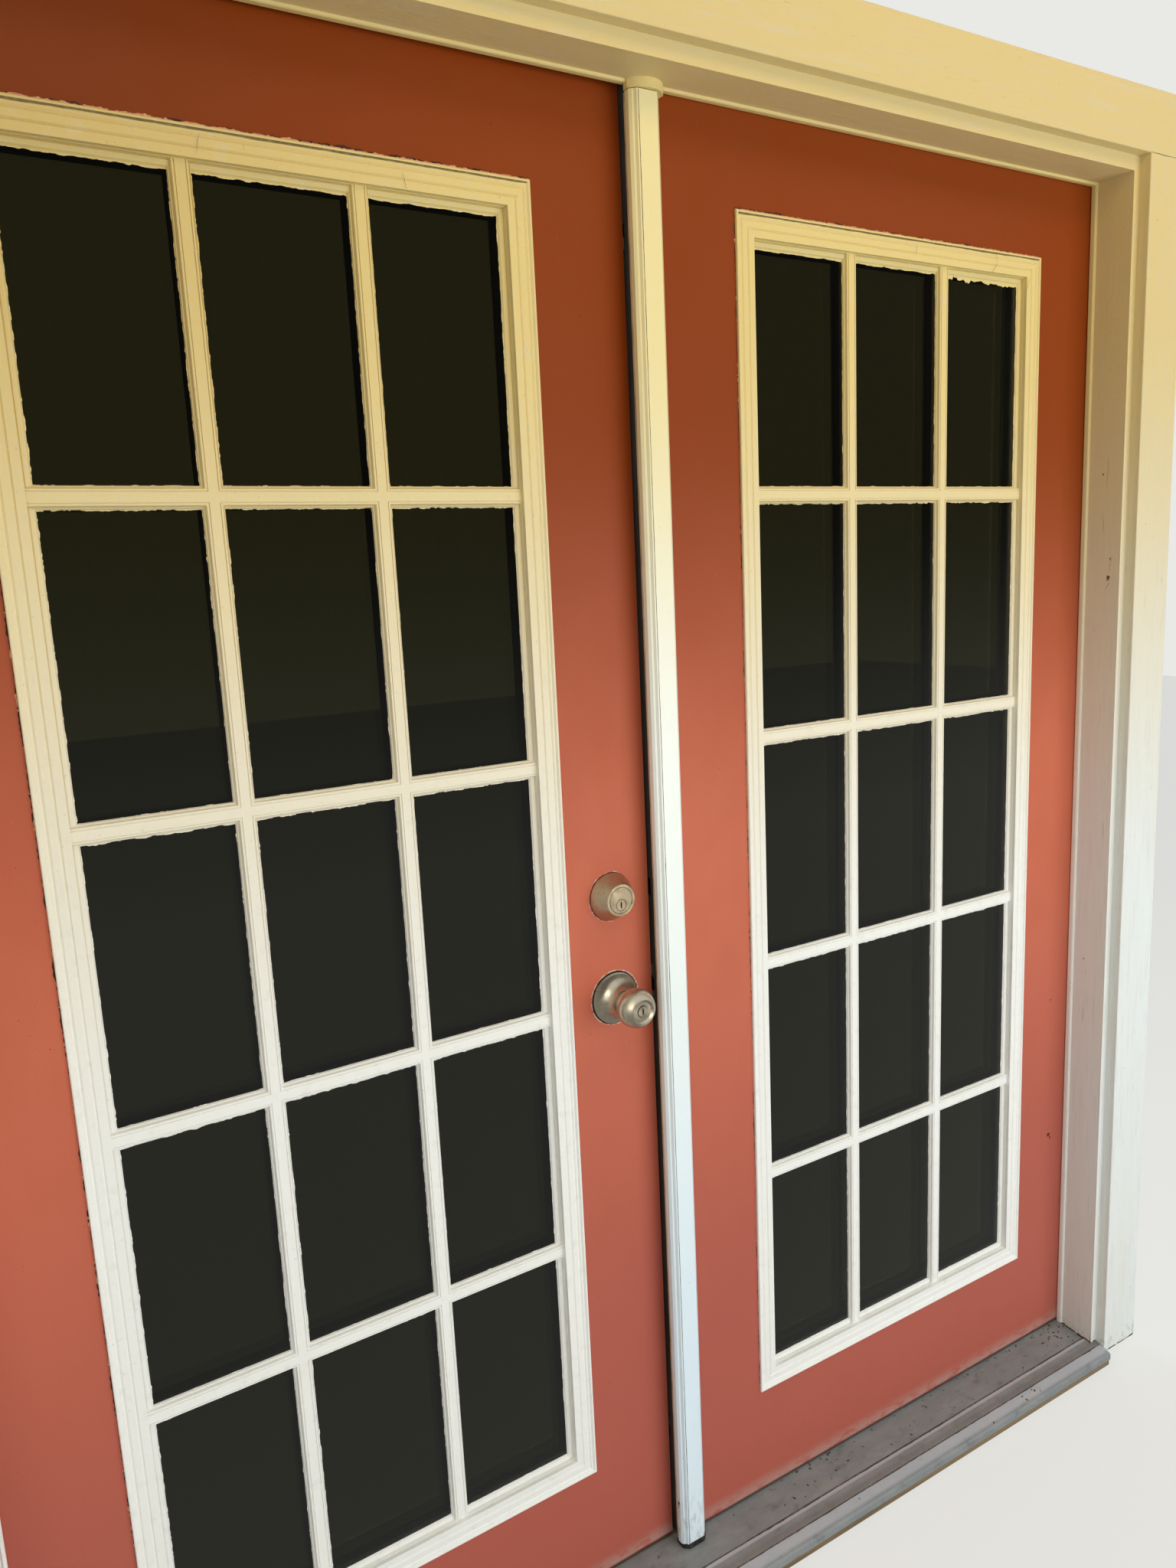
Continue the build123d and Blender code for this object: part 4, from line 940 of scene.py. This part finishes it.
def addSpot(verts, faces, at, size, out, seed):
    look = spotShape
    at, out, up, corners = Vector(at), Vector(out), Vector(toTop), look["corners"]
    across = up.cross(out)
    first = len(verts)
    verts.append((at + out * look["crown"]) * mm)
    for number in range(corners):
        angle = 2 * math.pi * number / corners
        rough = noise.noise(Vector((math.cos(angle) * 2, math.sin(angle) * 2, seed)))
        reach = look["reach"] + look["uneven"] * rough
        step = across * size[0] * math.cos(angle) + up * size[1] * math.sin(angle)
        verts.append((at + step * reach + out * look["edge"]) * mm)
    faces += fan(first, corners)


for name, (body, slot, material, places) in spots.items():
    verts, faces = [], []
    for number, (at, size, out) in enumerate(places):
        addSpot(verts, faces, at, size, out, 4.1 * number + 0.7)
    addPiece(name, newMesh(name, verts, faces, material), body)


# Dirt where the feet of the jambs and casings meet the sill, in millimetres
footBead = {"step": 1.5, "patch": 9.0, "width": 1.6, "wander": 2.6, "least": 0.3, "under": 0.8, "rise": 0.5}
feet = {
    "jamb": 863.6, "sillTop": ((0, 32.6), (14.5, 33.7), (16.6, 33.7), (71.0, 38.0)),
    "frontWidth": 1.2,
    "casing": (877.6, 966.0), "casingY": -18.05, "casingZ": 19.4,
    "jambFront": (863.9, 877.2), "jambFrontY": -0.05, "jambFrontZ": 32,
}


def footDirt():
    verts, faces = [], []
    front = {**footBead, "width": feet["frontWidth"]}
    run = feet["sillTop"]
    for sign in (-1, 1):
        x = sign * feet["jamb"]
        inward = (-sign, 0, 0)
        for (y0, z0), (y1, z1) in zip(run, run[1:]):
            start, end = (x, y0, z0), (x, y1, z1)
            addBead(verts, faces, start, end, inward, toTop, footBead, 5.0 + sign)
            addBead(verts, faces, start, end, toTop, inward, footBead, 9.0 + sign)
        for part, seed in (("casing", 3.0 + sign), ("jambFront", 8.0)):
            start, end = ((sign * x, feet[part + "Y"], feet[part + "Z"]) for x in feet[part])
            addBead(verts, faces, start, end, toTop, toFront, front, seed)
    addPiece("footDirt", newMesh("footDirt", verts, faces, darkGrime), "frame")


footDirt()
print("cracks and dirt ready")


# Lock faces: a keyway in each plug, and painted shade in the gaps round the plugs, in the groove of the
# deadbolt face and behind the roses
lockFace = {
    "x": -77.7, "knob": 902.0, "deadbolt": 1041.7,
    "plug": 1041.7 - 6.3,  # the deadbolt's plug sits low in its collar
    "knobPlugFace": 6.0, "deadboltFace": 46.5, "lift": 0.06,
    "pins": ((0.15, 3.1, 0.42), (0.1, -2.6, 0.36)), "pinSides": 8, "pinCrown": 0.12, "pinEdge": 0.05,
    "segments": 64,
    "rings": (
        # name, height, y just proud of the face, inner and outer radius, rise, body
        ("knobPlugGap", "knob", 6.95, 7.2, 8.1, 0.05, "knobs"),
        ("deadboltPlugGap", "plug", 46.45, 7.2, 7.95, 0.05, "active_leaf"),
        ("deadboltGroove", "deadbolt", 46.46, 16.9, 17.6, 0.03, "active_leaf"),
        ("knobRoseShadow", "knob", 71.45, 34.8, 36.6, 0.12, "active_leaf"),
        ("deadboltRoseShadow", "deadbolt", 71.46, 31.8, 32.7, 0.08, "active_leaf"),
    ),
}
# black as painted shade in the gaps, slots and grooves
blackGapShade = driedSkin("paintedShadeInLockGaps", "#17120d", "#2b221a", (0.6, 0.85))
brassPin = twoToneFinish("brassPlugPins", "#d8c08a", "#8f7747", (1, 1, 1), (0.3, 0.4), 0.01, 1.0)
keyOutline = [
    (-0.55, 4.6), (0.75, 4.6), (0.75, 2.6), (1.35, 2.2), (1.35, 1.0), (0.6, 0.6), (0.6, -0.9),
    (1.1, -1.4), (1.1, -3.2), (0.1, -4.7), (-0.7, -4.7), (-0.7, -2.3), (-1.3, -1.7), (-1.3, -0.2),
    (-0.55, 0.3), (-0.55, 1.7), (-1.1, 2.1), (-1.1, 3.2), (-0.55, 3.6),
]


def onLock(points):
    # from millimetres on the shut left leaf to its real place
    return swungAjar([Vector(p) * mm for p in points])


def lockRing(name, centreZ, y, inner, outer, rise, body):
    verts, faces = [], []
    count = lockFace["segments"]
    for number in range(count):
        angle = 2 * math.pi * number / count
        for radius, height in ((inner, 0), ((inner + outer) / 2, rise), (outer, 0)):
            x, z = lockFace["x"] + radius * math.cos(angle), centreZ + radius * math.sin(angle)
            verts.append((x, y - height, z))
        a, b = 3 * number, 3 * ((number + 1) % count)
        faces += [(a, a + 1, b + 1, b), (a + 1, a + 2, b + 2, b + 1)]
    mesh = newMesh(name, onLock(verts), faces, blackGapShade)
    mesh.shade_smooth()
    addPiece(name, mesh, body)


def keyway(name, centreZ, y, body):
    # a slot outline set just proud of the plug, black as painted shade of the slot
    shape = bmesh.new()
    outline = onLock([(lockFace["x"] + px, y, centreZ + pz) for px, pz in keyOutline])
    shape.faces.new([shape.verts.new(v) for v in outline])
    bmesh.ops.triangulate(shape, faces=shape.faces[:])
    for face in shape.faces:
        face.normal_update()
        if face.normal.y > 0:
            face.normal_flip()
    mesh = bpy.data.meshes.new(name)
    shape.to_mesh(mesh)
    shape.free()
    mesh.materials.append(blackGapShade)
    addPiece(name, mesh, body)


def keyPins(name, centreZ, y, body):
    # the ends of two brass pins that catch the light in the keyway
    look = lockFace
    sides = look["pinSides"]
    verts, faces = [], []
    for px, pz, radius in look["pins"]:
        x, z = look["x"] + px, centreZ + pz
        first = len(verts)
        verts.append((x, y - look["pinCrown"], z))
        for number in range(sides):
            angle = -2 * math.pi * number / sides
            verts.append((x + radius * math.cos(angle), y - look["pinEdge"], z + radius * math.sin(angle)))
        faces += fan(first, sides)
    addPiece(name, newMesh(name, onLock(verts), faces, brassPin), body)


def lockDetails():
    look = lockFace
    for name, height, face, body in (
        ("knobKeyway", "knob", "knobPlugFace", "knob_plug"),
        ("deadboltKeyway", "plug", "deadboltFace", "deadbolt_plug"),
    ):
        keyway(name, look[height], look[face] - look["lift"], body)
        keyPins(name + "Pins", look[height], look[face] - look["lift"], body)
    for name, height, *section in look["rings"]:
        lockRing(name, look[height], *section)


lockDetails()
print("lock faces ready")


# Repeats by Geometry Nodes: grit swept onto the sill, and the screws of the hinges
def startTree(name, inputs):
    tree = bpy.data.node_groups.new(name, "GeometryNodeTree")
    for way in ("INPUT", "OUTPUT"):
        tree.interface.new_socket("Geometry", in_out=way, socket_type="NodeSocketGeometry")
    for label, kind, value in inputs:
        socket = tree.interface.new_socket(label, in_out="INPUT", socket_type=kind)
        socket.default_value = value
    return tree, addNode(tree, "NodeGroupInput"), addNode(tree, "NodeGroupOutput")


def bakedByTree(name, base, tree, values, body):
    # run the tree on a base mesh, keep the result as a plain mesh and drop the modifier
    carrier = addObject(name + "Base", base)
    modifier = carrier.modifiers.new("build", "NODES")
    modifier.node_group = tree
    for item in tree.interface.items_tree:
        if item.item_type == "SOCKET" and item.in_out == "INPUT" and item.name in values:
            modifier[item.identifier] = values[item.name]
    carrier.update_tag()
    bpy.context.view_layer.update()
    graph = bpy.context.evaluated_depsgraph_get()
    mesh = bpy.data.meshes.new_from_object(carrier.evaluated_get(graph))
    mesh.name = name
    bpy.data.objects.remove(carrier)
    addPiece(name, mesh, body)


# Crumbs by their radii in millimetres, flattened and turned by up to so many radians. Each strip of
# the sill has its ends in x, the y and z of its two long edges, and its crumbs per square metre
grit = {
    "smallest": 0.5, "largest": 2.4, "seed": 5,
    "flattened": (1.5, 0.8, 0.35), "tilt": 0.2, "spin": 3.1,
}
gritStrips = {
    "right": ((40, 862), (17.5, 33.9), (68, 37.6), 1100),
    "left": ((-862, -40), (17.5, 33.9), (68, 37.6), 900),
    "rightCorner": ((780, 862), (20, 34.2), (69, 37.7), 6500),
    "leftCorner": ((-862, -790), (20, 34.2), (69, 37.7), 5000),
    "rightLip": ((200, 870), (-27, 25.2), (-11, 29.3), 1300),
    "leftLip": ((-870, -200), (-27, 25.2), (-11, 29.3), 1300),
    "rightFold": ((30, 862), (64, 37.4), (70.5, 38.05), 5200),
    "leftFold": ((-862, -30), (64, 37.4), (70.5, 38.05), 4200),
}


def gritTree(material):
    tree, given, result = startTree("sweptGrit", [
        ("Density", "NodeSocketFloat", 1000.0), ("Smallest", "NodeSocketFloat", grit["smallest"]),
        ("Largest", "NodeSocketFloat", grit["largest"]), ("Seed", "NodeSocketInt", grit["seed"]),
    ])
    points = addNode(tree, "GeometryNodeDistributePointsOnFaces", None, {
        "Mesh": given.outputs["Geometry"],
        "Density": given.outputs["Density"], "Seed": given.outputs["Seed"],
    })
    crumb = addNode(tree, "GeometryNodeMeshIcoSphere", {"Radius": mm, "Subdivisions": 1})
    flat = addNode(tree, "GeometryNodeTransform", {"Scale": grit["flattened"]}, {
        "Geometry": crumb.outputs["Mesh"],
    })
    size = addNode(tree, "FunctionNodeRandomValue", {"data_type": "FLOAT"}, {
        2: given.outputs["Smallest"], 3: given.outputs["Largest"], "Seed": given.outputs["Seed"],
    })
    tilt, spin = grit["tilt"], grit["spin"]
    turn = addNode(tree, "FunctionNodeRandomValue", {
        "data_type": "FLOAT_VECTOR", 0: (-tilt, -tilt, -spin), 1: (tilt, tilt, spin),
    }, {"Seed": given.outputs["Seed"]})
    placed = addNode(tree, "GeometryNodeInstanceOnPoints", None, {
        "Points": points.outputs["Points"], "Instance": flat.outputs["Geometry"],
        "Rotation": turn.outputs[0], "Scale": size.outputs[1],
    })
    real = addNode(tree, "GeometryNodeRealizeInstances", None, {"Geometry": placed.outputs[0]})
    painted = addNode(tree, "GeometryNodeSetMaterial", {"Material": material}, {"Geometry": real.outputs[0]})
    tree.links.new(painted.outputs[0], result.inputs[0])
    return tree


def sweptGrit():
    tree = gritTree(driedSkin("leafCrumbs", "#4b3d2f", "#8f8068", (0.8, 0.95)))
    for number, (name, strip) in enumerate(gritStrips.items()):
        (x0, x1), (y0, z0), (y1, z1), density = strip
        corners = [(x0, y0, z0), (x1, y0, z0), (x1, y1, z1), (x0, y1, z1)]
        base = newMesh(name, [[v * mm for v in corner] for corner in corners], [(0, 1, 2, 3)])
        values = {"Density": float(density), "Seed": grit["seed"] + number}
        bakedByTree("grit_" + name, base, tree, values, "frame")


# Screws in metres, and where they sit on the hinges in millimetres
screw = {"head": 0.0042, "slot": 0.0044, "proud": 0.00012, "sides": 20, "slotWidth": 0.24}
hinges = {
    "heights": (352.8, 1078.0, 1803.2), "rows": (-38, -14, 14, 38), "depths": (88, 104, 88, 104),
    "jambPlate": 873.9, "leafPlate": 873.5,
}


def screwTree(metal, dark):
    tree, given, result = startTree("flushScrews", [
        ("Head Radius", "NodeSocketFloat", screw["head"]), ("Slot", "NodeSocketFloat", screw["slot"]),
        ("Proud", "NodeSocketFloat", screw["proud"]), ("Turn", "NodeSocketVector", (0.0, 0.0, 0.0)),
    ])

    def times(size, share):
        product = addNode(tree, "ShaderNodeMath", {"operation": "MULTIPLY", 1: share}, {
            0: given.outputs[size],
        })
        return product.outputs[0]

    head = addNode(tree, "GeometryNodeMeshCylinder", {"Vertices": screw["sides"]}, {
        "Radius": given.outputs["Head Radius"], "Depth": times("Proud", 2.0),
    })
    headMetal = addNode(tree, "GeometryNodeSetMaterial", {"Material": metal}, {
        "Geometry": head.outputs["Mesh"],
    })
    cross = addNode(tree, "GeometryNodeJoinGeometry")
    thick = times("Proud", 2.3)
    for across, up in ((1.0, screw["slotWidth"]), (screw["slotWidth"], 1.0)):
        box = addNode(tree, "ShaderNodeCombineXYZ", None, {
            0: times("Slot", across), 1: times("Slot", up), 2: thick,
        })
        bar = addNode(tree, "GeometryNodeMeshCube", None, {"Size": box.outputs[0]})
        tree.links.new(bar.outputs["Mesh"], cross.inputs[0])
    # the slot cross is black as painted shade of the slots
    crossDark = addNode(tree, "GeometryNodeSetMaterial", {"Material": dark}, {"Geometry": cross.outputs[0]})
    whole = addNode(tree, "GeometryNodeJoinGeometry")
    tree.links.new(headMetal.outputs[0], whole.inputs[0])
    tree.links.new(crossDark.outputs[0], whole.inputs[0])
    placed = addNode(tree, "GeometryNodeInstanceOnPoints", None, {
        "Points": given.outputs["Geometry"], "Instance": whole.outputs[0], "Rotation": given.outputs["Turn"],
    })
    real = addNode(tree, "GeometryNodeRealizeInstances", None, {"Geometry": placed.outputs[0]})
    tree.links.new(real.outputs[0], result.inputs[0])
    return tree


def hingeScrews():
    look = hinges
    tree = screwTree(finishes["hinge_steel"], blackGapShade)
    places = [
        (y, height + row) for height in look["heights"] for row, y in zip(look["rows"], look["depths"])
    ]
    plates = (
        ("rightJamb", look["jambPlate"], "frame"), ("leftJamb", -look["jambPlate"], "frame"),
        ("rightLeaf", look["leafPlate"], "passive_leaf"), ("leftLeaf", look["leafPlate"], "active_leaf"),
    )
    for name, x, body in plates:
        points = [(x * mm, y * mm, z * mm) for y, z in places]
        lean = 0.0
        if body == "active_leaf":
            points = toLeftLeaf(points)
            lean = math.radians(ajar["degrees"])
        values = {"Turn": (0.0, math.pi / 2, lean)}
        bakedByTree("screws_" + name, newMesh(name, points, []), tree, values, body)


sweptGrit()
hingeScrews()
print("grit and screws ready")


print("all pieces ready")
